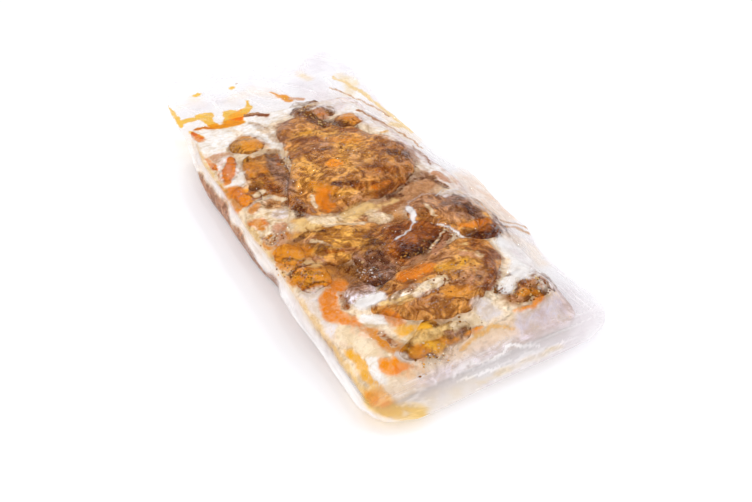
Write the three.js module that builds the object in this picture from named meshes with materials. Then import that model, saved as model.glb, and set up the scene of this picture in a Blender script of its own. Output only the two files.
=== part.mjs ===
// A vacuum-sealed pouch of sliced pork belly, lying flat. The clear film is sucked down tight over
// the slices, so the pouch is one closed solid: a lumpy body with a sealed flange all the way round.
// Millimetres, +X across the pouch, +Y along it towards the empty end, +Z up, resting on z = 0.
import * as THREE from "three";
import { mergeVertices } from "three/addons/utils/BufferGeometryUtils.js";

const { lerp, clamp, smoothstep, degToRad } = THREE.MathUtils;

// Driving dimensions
const POUCH_LENGTH = 318;
const FILM = 1;
const CORNER_RADIUS = { near: 19, far: 12 };
const BODY_HEIGHT = 20.5;
const COLUMNS = 37;
const ROWS = 76;
const EDGE_CROWDING = 0.5;
const NEAR_END = -POUCH_LENGTH / 2;
const FAR_END = POUCH_LENGTH / 2;

// Outline and seam, each as [y, value] stations down the length, joined by smooth steps.
const LEFT_EDGE = [
  [NEAR_END, -63],
  [-118, -65.5],
  [-84, -68],
  [-30, -70],
  [30, -71],
  [92, -66.5],
  [FAR_END, -61.5],
];
const RIGHT_EDGE = [
  [NEAR_END, 65],
  [-130, 69],
  [-94, 67],
  [-76, 72.5],
  [-30, 75.5],
  [10, 72],
  [60, 69],
  [120, 70],
  [FAR_END, 67],
];
const LEFT_SEAM = [
  [NEAR_END, 6],
  [-130, 12],
  [-80, 19],
  [60, 20],
  [100, 16],
  [FAR_END, 14],
];
const RIGHT_SEAM = [
  [NEAR_END, 6.5],
  [-120, 8],
  [-60, 9],
  [60, 9],
  [100, 13],
  [FAR_END, 15],
];

// The filled part of the pouch: where it stands on the table, and how its sides rise.
const LEFT_FOOT = [
  [NEAR_END, 5],
  [-80, 3.6],
  [-5, 0.8],
  [30, 0.2],
  [64, 1.6],
  [92, 5],
];
const FILLED = { near: -149, far: 93, right: 13 };
const WALL = { left: 2, right: 9, near: 7, far: 15 };
const SHOULDER = { left: 8, right: 16, near: 17, far: 24 };
const FLANGE_DROP = { left: 7, right: 4, near: 1.5 };
const FLANGE_WIDTH = { left: 4, right: 11, near: 9 };

// The slices and lumps that press up into the film: centre, half sizes, turn in degrees, rise.
const SLICES = {
  bigSlice: { x: 3, y: 1, rx: 41, ry: 33, turn: 10, rise: 7 },
  bigSliceTip: { x: -6, y: 42, rx: 17, ry: 22, turn: 10, rise: 4.5 },
  bigSliceLobe: { x: -37, y: -33, rx: 11, ry: 12, turn: 0, rise: 5 },
  crust: { x: 9, y: 66, rx: 11, ry: 15, turn: 0, rise: 4 },
  fatLump: { x: 28, y: 46, rx: 9, ry: 10, turn: 0, rise: 3.5 },
  goldLump: { x: -41, y: 47, rx: 12, ry: 12, turn: 20, rise: 4.5 },
  sideSlice: { x: -39, y: 9, rx: 15, ry: 23, turn: 4, rise: 4.5 },
  rimFarLump: { x: -58, y: 22, rx: 8, ry: 17, turn: -10, rise: 2.5 },
  rimLump: { x: -58, y: -8, rx: 9, ry: 14, turn: 0, rise: 3.5 },
  paleLump: { x: -53, y: -34, rx: 12, ry: 18, turn: 20, rise: 3 },
  paleRidge: { x: -26, y: -51, rx: 17, ry: 8, turn: -25, rise: 4 },
  goldSlice: { x: -31, y: -70, rx: 15, ry: 13, turn: -15, rise: 5 },
  yellowLump: { x: -56, y: -78, rx: 9, ry: 17, turn: 6, rise: 4 },
  middleSlice: { x: 1, y: -76, rx: 24, ry: 17, turn: -5, rise: 3.5 },
  crossSlice: { x: 25, y: -68, rx: 13, ry: 20, turn: 15, rise: 4.5 },
  clearSlice: { x: 44, y: -70, rx: 12, ry: 19, turn: -8, rise: 5 },
  greySlice: { x: -25, y: -94, rx: 13, ry: 11, turn: 0, rise: 4 },
  lowSlice: { x: -3, y: -113, rx: 37, ry: 19, turn: 12, rise: 6.5 },
  clearLump: { x: -41, y: -101, rx: 9, ry: 8, turn: -20, rise: 4 },
  rightEndSlice: { x: 35, y: -128, rx: 18, ry: 10, turn: 20, rise: 3.5 },
  leftEndSlice: { x: -20, y: -138, rx: 21, ry: 9, turn: 14, rise: 3.5 },
};

// Share of a slice's rise that its crown loses towards the outline.
const CROWN = 0.3;

// Folds of slack film: a ridge of the given height from one end to the other.
const FOLDS = {
  rightLong: { from: [52, 36], to: [61, -40], width: 3.6, rise: 2 },
  rightOuter: { from: [58, 60], to: [66, 0], width: 3.2, rise: 1.6 },
  bulgeCorner: { from: [30, -96], to: [70, -83], width: 3.4, rise: 2.4 },
  nearRight: { from: [40, -104], to: [60, -130], width: 3.4, rise: 1.8 },
  nearLeft: { from: [-56, -96], to: [-40, -146], width: 3.6, rise: 2 },
  nearSeal: { from: [-24, -151], to: [44, -147], width: 3, rise: 1.4 },
  nearSealOuter: { from: [-18, -156], to: [50, -152], width: 2.6, rise: 1 },
  farLeft: { from: [-58, 100], to: [-14, 90], width: 4, rise: 2 },
  farMiddle: { from: [-20, 112], to: [8, 150], width: 4.2, rise: 2.2 },
  farRight: { from: [30, 96], to: [56, 146], width: 4.6, rise: 2.8 },
  farCross: { from: [-50, 130], to: [-12, 140], width: 3.6, rise: 1.6 },
};
const FAR_CURL = { start: 118, rise: 5 };
const EDGE_WAVE = { length: 34, depth: 1.1 };

// Unevenness of the meat: how far outlines wander, and the low swells along its grain.
const WANDER = { length: 33, depth: 3 };
const GRAIN = { length: 17, depth: 0.6, turn: 24 };

/** Value at y of a list of [y, value] stations, eased from each to the next. */
function along(stations, y) {
  const last = stations.length - 1;
  if (y <= stations[0][0]) return stations[0][1];
  if (y >= stations[last][0]) return stations[last][1];
  const i = stations.findIndex((station) => station[0] > y) - 1;
  const t = (y - stations[i][0]) / (stations[i + 1][0] - stations[i][0]);
  return lerp(stations[i][1], stations[i + 1][1], smoothstep(t, 0, 1));
}

/** How far a rounded corner pulls the outline in, at a distance from the end of the pouch. */
function cornerPull(distance, radius) {
  const inside = clamp(radius - distance, 0, radius);
  return radius - Math.sqrt(radius * radius - inside * inside);
}

/** Left and right edge of the film at y, wavy and round at the corners. */
function edges(y) {
  const nearPull = cornerPull(y - NEAR_END, CORNER_RADIUS.near);
  const farPull = cornerPull(FAR_END - y, CORNER_RADIUS.far);
  const pull = nearPull + farPull;
  const wave = EDGE_WAVE.depth * Math.sin((y / EDGE_WAVE.length) * Math.PI);
  return {
    left: along(LEFT_EDGE, y) + pull + 0.5 * wave,
    right: along(RIGHT_EDGE, y) - pull - wave,
  };
}

/** 0 outside the filled part and 1 inside it, past a side of the given widths. */
function filled(x, y, side) {
  const { left, right } = edges(y);
  const fromLeft = (x - left - along(LEFT_FOOT, y)) / side.left;
  const fromRight = (right - FILLED.right - x) / side.right;
  const fromNear = (y - FILLED.near) / side.near;
  const fromFar = (FILLED.far - y) / side.far;
  const across = clamp(Math.min(fromLeft, fromRight), 0, 1);
  const down = clamp(Math.min(fromNear, fromFar), 0, 1);
  const gap = Math.hypot(1 - across, 1 - down);
  return smoothstep(1 - gap, 0, 1);
}

/** Height of the seam that joins the two films. */
function seamHeight(x, y) {
  const { left, right } = edges(y);
  const share = clamp((x - left) / (right - left), 0, 1);
  return lerp(along(LEFT_SEAM, y), along(RIGHT_SEAM, y), smoothstep(share, 0, 1));
}

/** How far the sealed flange hangs below the seam, most along the steep left side. */
function flangeDrop(x, y) {
  const { left, right } = edges(y);
  const past = smoothstep(y, NEAR_END, NEAR_END + 40) * smoothstep(FAR_END - y, 50, 110);
  const leftDrop = FLANGE_DROP.left * (1 - smoothstep(x, left, left + FLANGE_WIDTH.left));
  const rightDrop = FLANGE_DROP.right * smoothstep(x, right - FLANGE_WIDTH.right, right);
  const nearDrop = FLANGE_DROP.near * (1 - smoothstep(y, NEAR_END, NEAR_END + FLANGE_WIDTH.near));
  return past * (leftDrop + rightDrop) + nearDrop;
}

/** Rise of one slice under the film: a low crown that rounds over towards its outline. */
function sliceRise(slice, x, y) {
  const turn = degToRad(slice.turn);
  const wave = (2 * Math.PI) / WANDER.length;
  const dx = x - slice.x + WANDER.depth * Math.sin(wave * y + slice.x);
  const dy = y - slice.y + WANDER.depth * Math.sin(wave * x + slice.y);
  const across = (dx * Math.cos(turn) + dy * Math.sin(turn)) / slice.rx;
  const down = (dy * Math.cos(turn) - dx * Math.sin(turn)) / slice.ry;
  const out = Math.pow(Math.abs(across), 2.6) + Math.pow(Math.abs(down), 2.6);
  return slice.rise * (1 - CROWN * Math.min(out, 1)) * smoothstep(1.25 - out, 0, 0.85);
}

/** Rise of one fold: a rounded ridge that fades out at both ends. */
function foldRise(fold, x, y) {
  const from = new THREE.Vector2(...fold.from);
  const span = new THREE.Vector2(...fold.to).sub(from);
  const here = new THREE.Vector2(x, y).sub(from);
  const t = clamp(here.dot(span) / span.lengthSq(), 0, 1);
  const off = here.distanceTo(span.multiplyScalar(t)) / fold.width;
  return fold.rise * Math.exp(-off * off) * Math.sqrt(Math.sin(Math.PI * clamp(t, 0.04, 0.96)));
}

/** Largest of the values, with the creases between them rounded off. */
function softMax(values) {
  const sharpness = 1.1;
  const sum = values.reduce((total, value) => total + Math.exp(sharpness * value) - 1, 1);
  return Math.log(sum) / sharpness;
}

/** Low swells of the meat, drawn out along its grain. */
function grainRise(x, y) {
  const turn = degToRad(GRAIN.turn);
  const wave = (2 * Math.PI) / GRAIN.length;
  const down = wave * (x * Math.cos(turn) + y * Math.sin(turn));
  const across = wave * (y * Math.cos(turn) - x * Math.sin(turn));
  return GRAIN.depth * Math.sin(across + Math.sin(0.5 * down)) * Math.cos(0.4 * down);
}

/** Height of the upper film. */
function topHeight(x, y) {
  const seam = seamHeight(x, y) - flangeDrop(x, y);
  const lumps = softMax(Object.values(SLICES).map((slice) => sliceRise(slice, x, y)));
  const body = Math.max(BODY_HEIGHT + lumps + grainRise(x, y), seam);
  const folds = Object.values(FOLDS).map((fold) => foldRise(fold, x, y));
  const slack = folds.reduce((total, rise) => total + rise, 0);
  const curl = FAR_CURL.rise * Math.pow(smoothstep(y, FAR_CURL.start, FAR_END + 20), 1.4);
  return lerp(seam, body, filled(x, y, SHOULDER)) + slack + curl;
}

/** Height of the lower film: flat on the table under the slices, and up to the seam outside. */
function bottomHeight(x, y) {
  const seam = topHeight(x, y) - FILM;
  return lerp(seam, 0, filled(x, y, WALL));
}

/** Spreads 0..1 so that columns crowd towards both long edges, where the film turns. */
function crowd(u) {
  const swing = Math.sin(2 * Math.PI * u) / (2 * Math.PI);
  return u - EDGE_CROWDING * swing;
}

/** The pouch as one closed body: a box of cells whose two faces take the two films' heights. */
function pouchGeometry() {
  const geometry = new THREE.BoxGeometry(1, 1, 1, COLUMNS, ROWS, 1);
  const position = geometry.getAttribute("position");
  for (let i = 0; i < position.count; i++) {
    const y = lerp(NEAR_END, FAR_END, position.getY(i) + 0.5);
    const { left, right } = edges(y);
    const x = lerp(left, right, crowd(position.getX(i) + 0.5));
    const z = position.getZ(i) > 0 ? topHeight(x, y) : bottomHeight(x, y);
    position.setXYZ(i, x, y, z);
  }
  geometry.deleteAttribute("normal");
  geometry.deleteAttribute("uv");
  const merged = mergeVertices(geometry);
  merged.computeBoundingBox();
  const middle = merged.boundingBox.getCenter(new THREE.Vector3());
  merged.translate(-middle.x, -middle.y, 0);
  merged.computeVertexNormals();
  return merged;
}

const filmedPork = new THREE.MeshStandardMaterial({
  color: 0xb07840,
  roughness: 0.25,
  metalness: 0,
});

const pouch = new THREE.Mesh(pouchGeometry(), filmedPork);
pouch.name = "pouch";

const group = new THREE.Group();
group.add(pouch);

export default group;
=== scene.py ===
"""A clear vacuum pouch of cooked pork belly slices in sauce, lying on a pale floor.

Lengths are millimetres in this script and become metres when a mesh is made. Places on the upper
side are written as readings: points of a level plane 16 mm up, which the camera's line of sight
carries on to the height of the film there.
"""
import logging
import math
from dataclasses import dataclass, field
from enum import Enum
from typing import Optional, Sequence

import bmesh
import bpy
import numpy as np
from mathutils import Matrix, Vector
from mathutils.bvhtree import BVHTree

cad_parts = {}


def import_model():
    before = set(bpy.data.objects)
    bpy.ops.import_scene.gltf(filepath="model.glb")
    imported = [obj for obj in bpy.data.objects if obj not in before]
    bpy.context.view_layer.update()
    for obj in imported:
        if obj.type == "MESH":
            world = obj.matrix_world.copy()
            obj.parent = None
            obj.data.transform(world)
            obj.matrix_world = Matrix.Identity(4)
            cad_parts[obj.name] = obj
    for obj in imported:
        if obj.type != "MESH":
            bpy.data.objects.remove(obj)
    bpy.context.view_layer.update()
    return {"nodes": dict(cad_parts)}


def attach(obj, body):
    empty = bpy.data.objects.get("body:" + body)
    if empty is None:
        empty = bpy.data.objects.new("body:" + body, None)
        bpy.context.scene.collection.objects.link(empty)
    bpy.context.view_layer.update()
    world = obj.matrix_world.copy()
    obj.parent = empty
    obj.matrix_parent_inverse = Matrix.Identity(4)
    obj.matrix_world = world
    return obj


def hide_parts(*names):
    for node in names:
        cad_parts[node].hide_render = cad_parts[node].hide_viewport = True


MM = 0.001
NODE = "pouch"
IN_LIGHT = 0.94
# The height, in mm, that says that there is no food at a place.
NO_FOOD = -50.0
Array = np.ndarray
log = logging.getLogger("pork_pouch")


def smooth(value: Array, low: float, high: float) -> Array:
    """Smooth step from 0 at low to 1 at high."""
    t = np.clip((value - low) / (high - low), 0, 1)
    return t * t * (3 - 2 * t)


def mix(a: Array, b: Array, share: Array) -> Array:
    """Linear mix from a to b."""
    return a + (b - a) * share


def linear(shown: Sequence[float]) -> Array:
    """Turns a colour as it looks on a screen, 0 to 255, into scene-linear light."""
    c = np.asarray(shown, float) / 255
    return np.where(c <= 0.04045, c / 12.92, ((c + 0.055) / 1.055) ** 2.4)


LAYERS = {
    "deep": ("BROWN", "RUST", "UMBER", "CHAR", "OLIVE", "GREY"),
    "pale": ("ROSE", "STRAW", "CREAM", "PEACH", "MILK", "PEARL", "LILAC"),
    "oil": ("AMBER", "ORANGE", "TANGERINE", "YELLOW"),
}


class Tone(Enum):
    """The colours of the food, as they look on a screen."""

    GOLD = (218, 156, 64)
    HONEY = (206, 142, 66)
    AMBER = (222, 140, 30)
    TAN = (190, 136, 88)
    BROWN = (156, 96, 46)
    RUST = (150, 80, 18)
    UMBER = (96, 45, 12)
    CHAR = (52, 18, 2)
    OLIVE = (152, 98, 26)
    GREY = (146, 104, 76)
    ROSE = (206, 148, 110)
    ORANGE = (252, 152, 10)
    TANGERINE = (232, 132, 20)
    YELLOW = (244, 178, 48)
    STRAW = (238, 200, 132)
    CREAM = (246, 224, 188)
    PEACH = (250, 222, 192)
    MILK = (255, 252, 248)
    PEARL = (238, 226, 220)
    # LILAC is painted shade: the grey-lavender of shadow seen through the film, put on the food at
    # the near end and in the film's tint.
    LILAC = (232, 222, 226)

    @property
    def rgb(self) -> Array:
        """The food's own colour, which looks like the tone in this light."""
        return linear(self.value) * IN_LIGHT

    @property
    def layer(self) -> str:
        """The coat of the food's finish that shows this tone."""
        for layer, tones in LAYERS.items():
            if self.name in tones:
                return layer
        return "stain"


class Noise:
    """Seeded gradient noise over a plane."""

    def __init__(self, seed: int) -> None:
        """Draws the lattice.

        Args:
            seed: Fixes the pattern.
        """
        draw = np.random.RandomState(seed)
        self.order = np.tile(draw.permutation(256), 3)
        turn = draw.uniform(0, 2 * np.pi, 256)
        self.lean = np.stack([np.cos(turn), np.sin(turn)], -1)

    def at(self, x: Array, y: Array, size: float) -> Array:
        """Noise at points of the plane.

        Args:
            x: Places across, in mm.
            y: Places along, in mm.
            size: Size of a feature, in mm.

        Returns:
            Values from about -1 to 1.
        """
        x, y = np.asarray(x, float) / size, np.asarray(y, float) / size
        i, j = np.floor(x).astype(int), np.floor(y).astype(int)
        fx, fy = x - i, y - j
        i, j = i & 255, j & 255
        u = fx * fx * fx * (fx * (fx * 6 - 15) + 10)
        v = fy * fy * fy * (fy * (fy * 6 - 15) + 10)

        def corner(di: int, dj: int) -> Array:
            """Share of one corner of the cell."""
            lean = self.lean[self.order[self.order[i + di] + j + dj]]
            return lean[..., 0] * (fx - di) + lean[..., 1] * (fy - dj)

        low = mix(corner(0, 0), corner(1, 0), u)
        high = mix(corner(0, 1), corner(1, 1), u)
        return 1.5 * mix(low, high, v)

    def rough(self, x: Array, y: Array, size: float, octaves: int = 3) -> Array:
        """Noise with finer detail added on.

        Args:
            x: Places across, in mm.
            y: Places along, in mm.
            size: Size of the largest features, in mm.
            octaves: How many sizes are added up.

        Returns:
            Values from about -1 to 1.
        """
        total, weight = 0.0, 1.0
        for octave in range(octaves):
            shift = 37.0 * octave
            total = total + weight * self.at(x + shift, y - shift, size / 2**octave)
            weight *= 0.5
        return total / 1.6

    def ridges(self, x: Array, y: Array, size: float, sharp: float) -> Array:
        """Thin ridges along the lines where the noise changes sign.

        Args:
            x: Places across, in mm.
            y: Places along, in mm.
            size: Distance between ridges, in mm.
            sharp: How thin they are.

        Returns:
            Values from 0 to 1, 1 on a ridge.
        """
        return np.clip(1 - 1.6 * np.abs(self.at(x, y, size)), 0, 1) ** sharp


@dataclass(frozen=True)
class Sight:
    """The camera's place, and the lines of sight through the reading plane."""

    lens: float = 34.09
    sensor: float = 36.0
    elevation: float = math.radians(39.9)
    azimuth: float = math.radians(-28.5)
    aim: tuple = (-8.0, -51.5, 0.0)
    distance: float = 380.5
    plane: float = 16.0
    origin: tuple = (-2.0, 2.5)

    @property
    def back(self) -> Array:
        """Direction from the aim point to the camera."""
        level = math.cos(self.elevation)
        return np.array(
            [
                math.sin(self.azimuth) * level,
                -math.cos(self.azimuth) * level,
                math.sin(self.elevation),
            ]
        )

    @property
    def eye(self) -> Array:
        """Where the camera is, in mm."""
        return np.array(self.aim) + self.back * self.distance

    def carry(self, x: Array, y: Array, z: Array) -> tuple[Array, Array]:
        """Carries readings along the line of sight to a height.

        Args:
            x: Readings across.
            y: Readings along.
            z: Heights, in mm.

        Returns:
            Places across and along in the pouch's frame.
        """
        ex, ey, ez = self.eye
        share = (ez - z) / (ez - self.plane)
        return ex + (x + self.origin[0] - ex) * share, ey + (y + self.origin[1] - ey) * share

    def read(self, x: Array, y: Array, z: Array) -> tuple[Array, Array]:
        """Readings at which places are seen.

        Args:
            x: Places across.
            y: Places along.
            z: Their heights, in mm.

        Returns:
            Readings across and along.
        """
        ex, ey, ez = self.eye
        share = (ez - self.plane) / (ez - z)
        return ex + (x - ex) * share - self.origin[0], ey + (y - ey) * share - self.origin[1]


@dataclass(frozen=True)
class LeftSide:
    """The left side of the pouch: a wall of food painted darker grey-brown, partly its own colour and
    partly painted shade, and over it the white seam of the film.
    """

    wall_low: float = 8.5
    wall_rise: float = 8.4
    wall_dip: float = 2.2
    wall_drop: float = 5.5
    seam_white: float = 0.72
    seam_streaks: float = 0.35

    def wall_top(self, y: Array) -> Array:
        """Height up to which the wall shows.

        Args:
            y: Places along.

        Returns:
            Heights, in mm, highest near the middle of the pouch, with slow waves on them.
        """
        top = self.wall_low + self.wall_rise * smooth(58 - y, 0, 22)
        top = top - self.wall_dip * smooth(-y, 0, 50) - self.wall_drop * smooth(-y, 78, 108)
        return top + 0.7 * np.sin(y * 0.17) + 0.5 * np.sin(y * 0.29 + 1)

    def wall(self, x: Array, y: Array, z: Array) -> Array:
        """Share of the wall's darker grey-brown, partly the food's own colour and partly painted
        shade on the shaded left side.

        Args:
            x: Places across.
            y: Places along.
            z: Heights.

        Returns:
            Values from 0 to 1.
        """
        share = smooth(self.wall_top(y) - z, 0, 1.2) * smooth(y, -138, -120)
        return share * smooth(84 - y, 0, 12) * smooth(-x, 48, 54)

    def seam(self, x: Array, y: Array, z: Array, left: Array, fibres: Array) -> Array:
        """How white the film is along its left edge.

        Args:
            x: Places across.
            y: Places along.
            z: Heights.
            left: Where the left edge is.
            fibres: Noise that makes the seam's inner edge ragged.

        Returns:
            Values from 0 to about 1.
        """
        above = smooth(z - self.wall_top(y), -0.4, 0.8)
        band = above * (1 - smooth(x + 0.8 * fibres, left + 3.8, left + 5.4))
        near = 1 - smooth(x + 1.2 * fibres, left + 2.0, left + 4.6)
        band = mix(band, near, smooth(-y, 84, 108)) * (1 - smooth(y, 60, 96))
        return (self.seam_white + self.seam_streaks * fibres) * band


class Raster:
    """A level grid of points over the pouch, on which heights are worked out."""

    step = 0.7
    half_width = 78.0
    half_length = 164.0

    def __init__(self) -> None:
        """Lays out the points."""
        self.xs = np.arange(-self.half_width, self.half_width + 0.1, self.step)
        self.ys = np.arange(-self.half_length, self.half_length + 0.1, self.step)
        self.x, self.y = np.meshgrid(self.xs, self.ys)

    def sample(self, values: Array, x: Array, y: Array) -> Array:
        """Values of a field between the raster's points.

        Args:
            values: The field, one value per point.
            x: Places across.
            y: Places along.

        Returns:
            The field's values there.
        """
        u = np.clip((np.asarray(x) - self.xs[0]) / self.step, 0, len(self.xs) - 1.001)
        v = np.clip((np.asarray(y) - self.ys[0]) / self.step, 0, len(self.ys) - 1.001)
        i, j = u.astype(int), v.astype(int)
        fu, fv = u - i, v - j
        low = mix(values[j, i], values[j, i + 1], fu)
        high = mix(values[j + 1, i], values[j + 1, i + 1], fu)
        return mix(low, high, fv)

    def blur(self, values: Array, size: float) -> Array:
        """Softens a field.

        Args:
            values: The field.
            size: Reach of the softening, in mm.

        Returns:
            The softened field.
        """
        spread = size / self.step
        reach = int(math.ceil(2.6 * spread))
        weights = np.exp(-0.5 * (np.arange(-reach, reach + 1) / spread) ** 2)
        weights /= weights.sum()
        for axis in (0, 1):
            pad = [(reach, reach) if a == axis else (0, 0) for a in (0, 1)]
            wide = np.pad(values, pad, mode="edge")
            span = values.shape[axis]
            parts = (w * wide.take(range(k, k + span), axis) for k, w in enumerate(weights))
            values = sum(parts)
        return values


class Pouch:
    """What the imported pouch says: its outline and the heights of its two films."""

    fill_least = 2.2
    fill_points = 40
    facet_blur = 2.2
    above = 200.0
    below = -50.0

    def __init__(self, node: bpy.types.Object, raster: Raster) -> None:
        """Reads the node.

        Args:
            node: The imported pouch.
            raster: The points to read it at.
        """
        self.raster = raster
        places = np.empty(len(node.data.vertices) * 3)
        node.data.vertices.foreach_get("co", places)
        places = places.reshape(-1, 3) / MM
        faces = [tuple(face.vertices) for face in node.data.polygons]
        tree = BVHTree.FromPolygons([Vector(p) for p in places], faces)
        self._read_outline(places)
        top = self._heights(tree, self.above, -1)
        bottom = self._heights(tree, self.below, 1)
        self.top = raster.blur(self._fill(top), self.facet_blur)
        self.bottom = self._fill(bottom)
        self._read_filling(top - bottom)

    def _read_outline(self, places: Array) -> None:
        """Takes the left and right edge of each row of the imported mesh.

        Args:
            places: The mesh's vertices, in mm.
        """
        rows = np.round(places[:, 1], 1)
        self.stations = np.unique(rows)
        spans = [places[rows == station, 0] for station in self.stations]
        self.lefts = np.array([span.min() for span in spans])
        self.rights = np.array([span.max() for span in spans])

    def _heights(self, tree: BVHTree, start: float, way: int) -> Array:
        """Heights where plumb lines first meet the pouch.

        Args:
            tree: The pouch's surface.
            start: Height from which the lines run.
            way: 1 for upwards, -1 for downwards.

        Returns:
            One height for each point of the raster, or NaN beside the pouch.
        """
        plumb = Vector((0, 0, way))
        flat = zip(self.raster.x.ravel(), self.raster.y.ravel())
        hits = (tree.ray_cast(Vector((x, y, start)), plumb)[0] for x, y in flat)
        found = [math.nan if hit is None else hit.z for hit in hits]
        return np.array(found).reshape(self.raster.x.shape)

    @staticmethod
    def _fill(values: Array) -> Array:
        """Carries the heights outwards past the outline.

        Args:
            values: Heights on the raster, with NaN where there are none.

        Returns:
            Heights everywhere.
        """
        values = values.copy()
        while np.isnan(values).any():
            wide = np.pad(values, 1, constant_values=np.nan)
            sides = [wide[:-2, 1:-1], wide[2:, 1:-1], wide[1:-1, :-2], wide[1:-1, 2:]]
            known = np.sum([~np.isnan(side) for side in sides], 0)
            total = np.sum([np.nan_to_num(side) for side in sides], 0)
            gap = np.isnan(values) & (known > 0)
            values[gap] = total[gap] / known[gap]
        return values

    def _read_filling(self, depth: Array) -> None:
        """Finds the rows of the raster where the pouch is filled, and how far across.

        Args:
            depth: How thick the pouch is at each point of the raster.
        """
        held = np.nan_to_num(depth) > self.fill_least
        rows = np.flatnonzero(held.sum(1) > self.fill_points)
        self.fill_rows = self.raster.ys[rows]
        self.fill_lefts = np.array([self.raster.xs[held[r]].min() for r in rows])
        self.fill_rights = np.array([self.raster.xs[held[r]].max() for r in rows])

    def edges(self, y: Array) -> tuple[Array, Array]:
        """Left and right edge of the film at places along the pouch."""
        left = np.interp(y, self.stations, self.lefts)
        return left, np.interp(y, self.stations, self.rights)

    def filling(self, y: Array) -> tuple[Array, Array]:
        """Left and right edge of the filling at places along the pouch."""
        left = np.interp(y, self.fill_rows, self.fill_lefts)
        return left, np.interp(y, self.fill_rows, self.fill_rights)


@dataclass(frozen=True)
class Dab:
    """A soft-edged stroke on the upper side: a line of readings with a half width."""

    tone: Optional[Tone]
    width: float
    strength: float
    points: tuple

    def gap(self, x: Array, y: Array) -> Array:
        """Distance from readings to the line.

        Args:
            x: Readings across.
            y: Readings along.

        Returns:
            Distances, in mm.
        """
        line = self.points if len(self.points) > 1 else self.points * 2
        least = np.full(np.shape(x), np.inf)
        for (ax, ay), (bx, by) in zip(line, line[1:]):
            span = max((bx - ax) ** 2 + (by - ay) ** 2, 1e-6)
            share = np.clip(((x - ax) * (bx - ax) + (y - ay) * (by - ay)) / span, 0, 1)
            off = np.hypot(x - ax - share * (bx - ax), y - ay - share * (by - ay))
            least = np.minimum(least, off)
        return least

    def mask(self, x: Array, y: Array) -> Array:
        """Its share at readings: a half of its strength lies one half width out."""
        return self.strength * np.clip(1.5 - self.gap(x, y) / self.width, 0, 1)


def dab(tone: Optional[Tone], width: float, strength: float, *points: tuple) -> Dab:
    """A dab through the points given one by one."""
    return Dab(tone, width, strength, points)


class Wander:
    """Bends readings a little, so that the edges of dabs are irregular."""

    bends = ((1.3, 8.0), (0.7, 2.4))

    def __init__(self, seed: int) -> None:
        """Draws the two bends.

        Args:
            seed: Fixes the pattern.
        """
        self.across = Noise(seed)
        self.down = Noise(seed + 1)

    def bend(self, x: Array, y: Array) -> tuple[Array, Array]:
        """Moves readings by up to about 2 mm.

        Args:
            x: Readings across.
            y: Readings along.

        Returns:
            The moved readings.
        """
        dx = sum(far * self.across.at(x, y, size) for far, size in self.bends)
        dy = sum(far * self.down.at(x, y, size) for far, size in self.bends)
        return x + dx, y + dy
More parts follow.
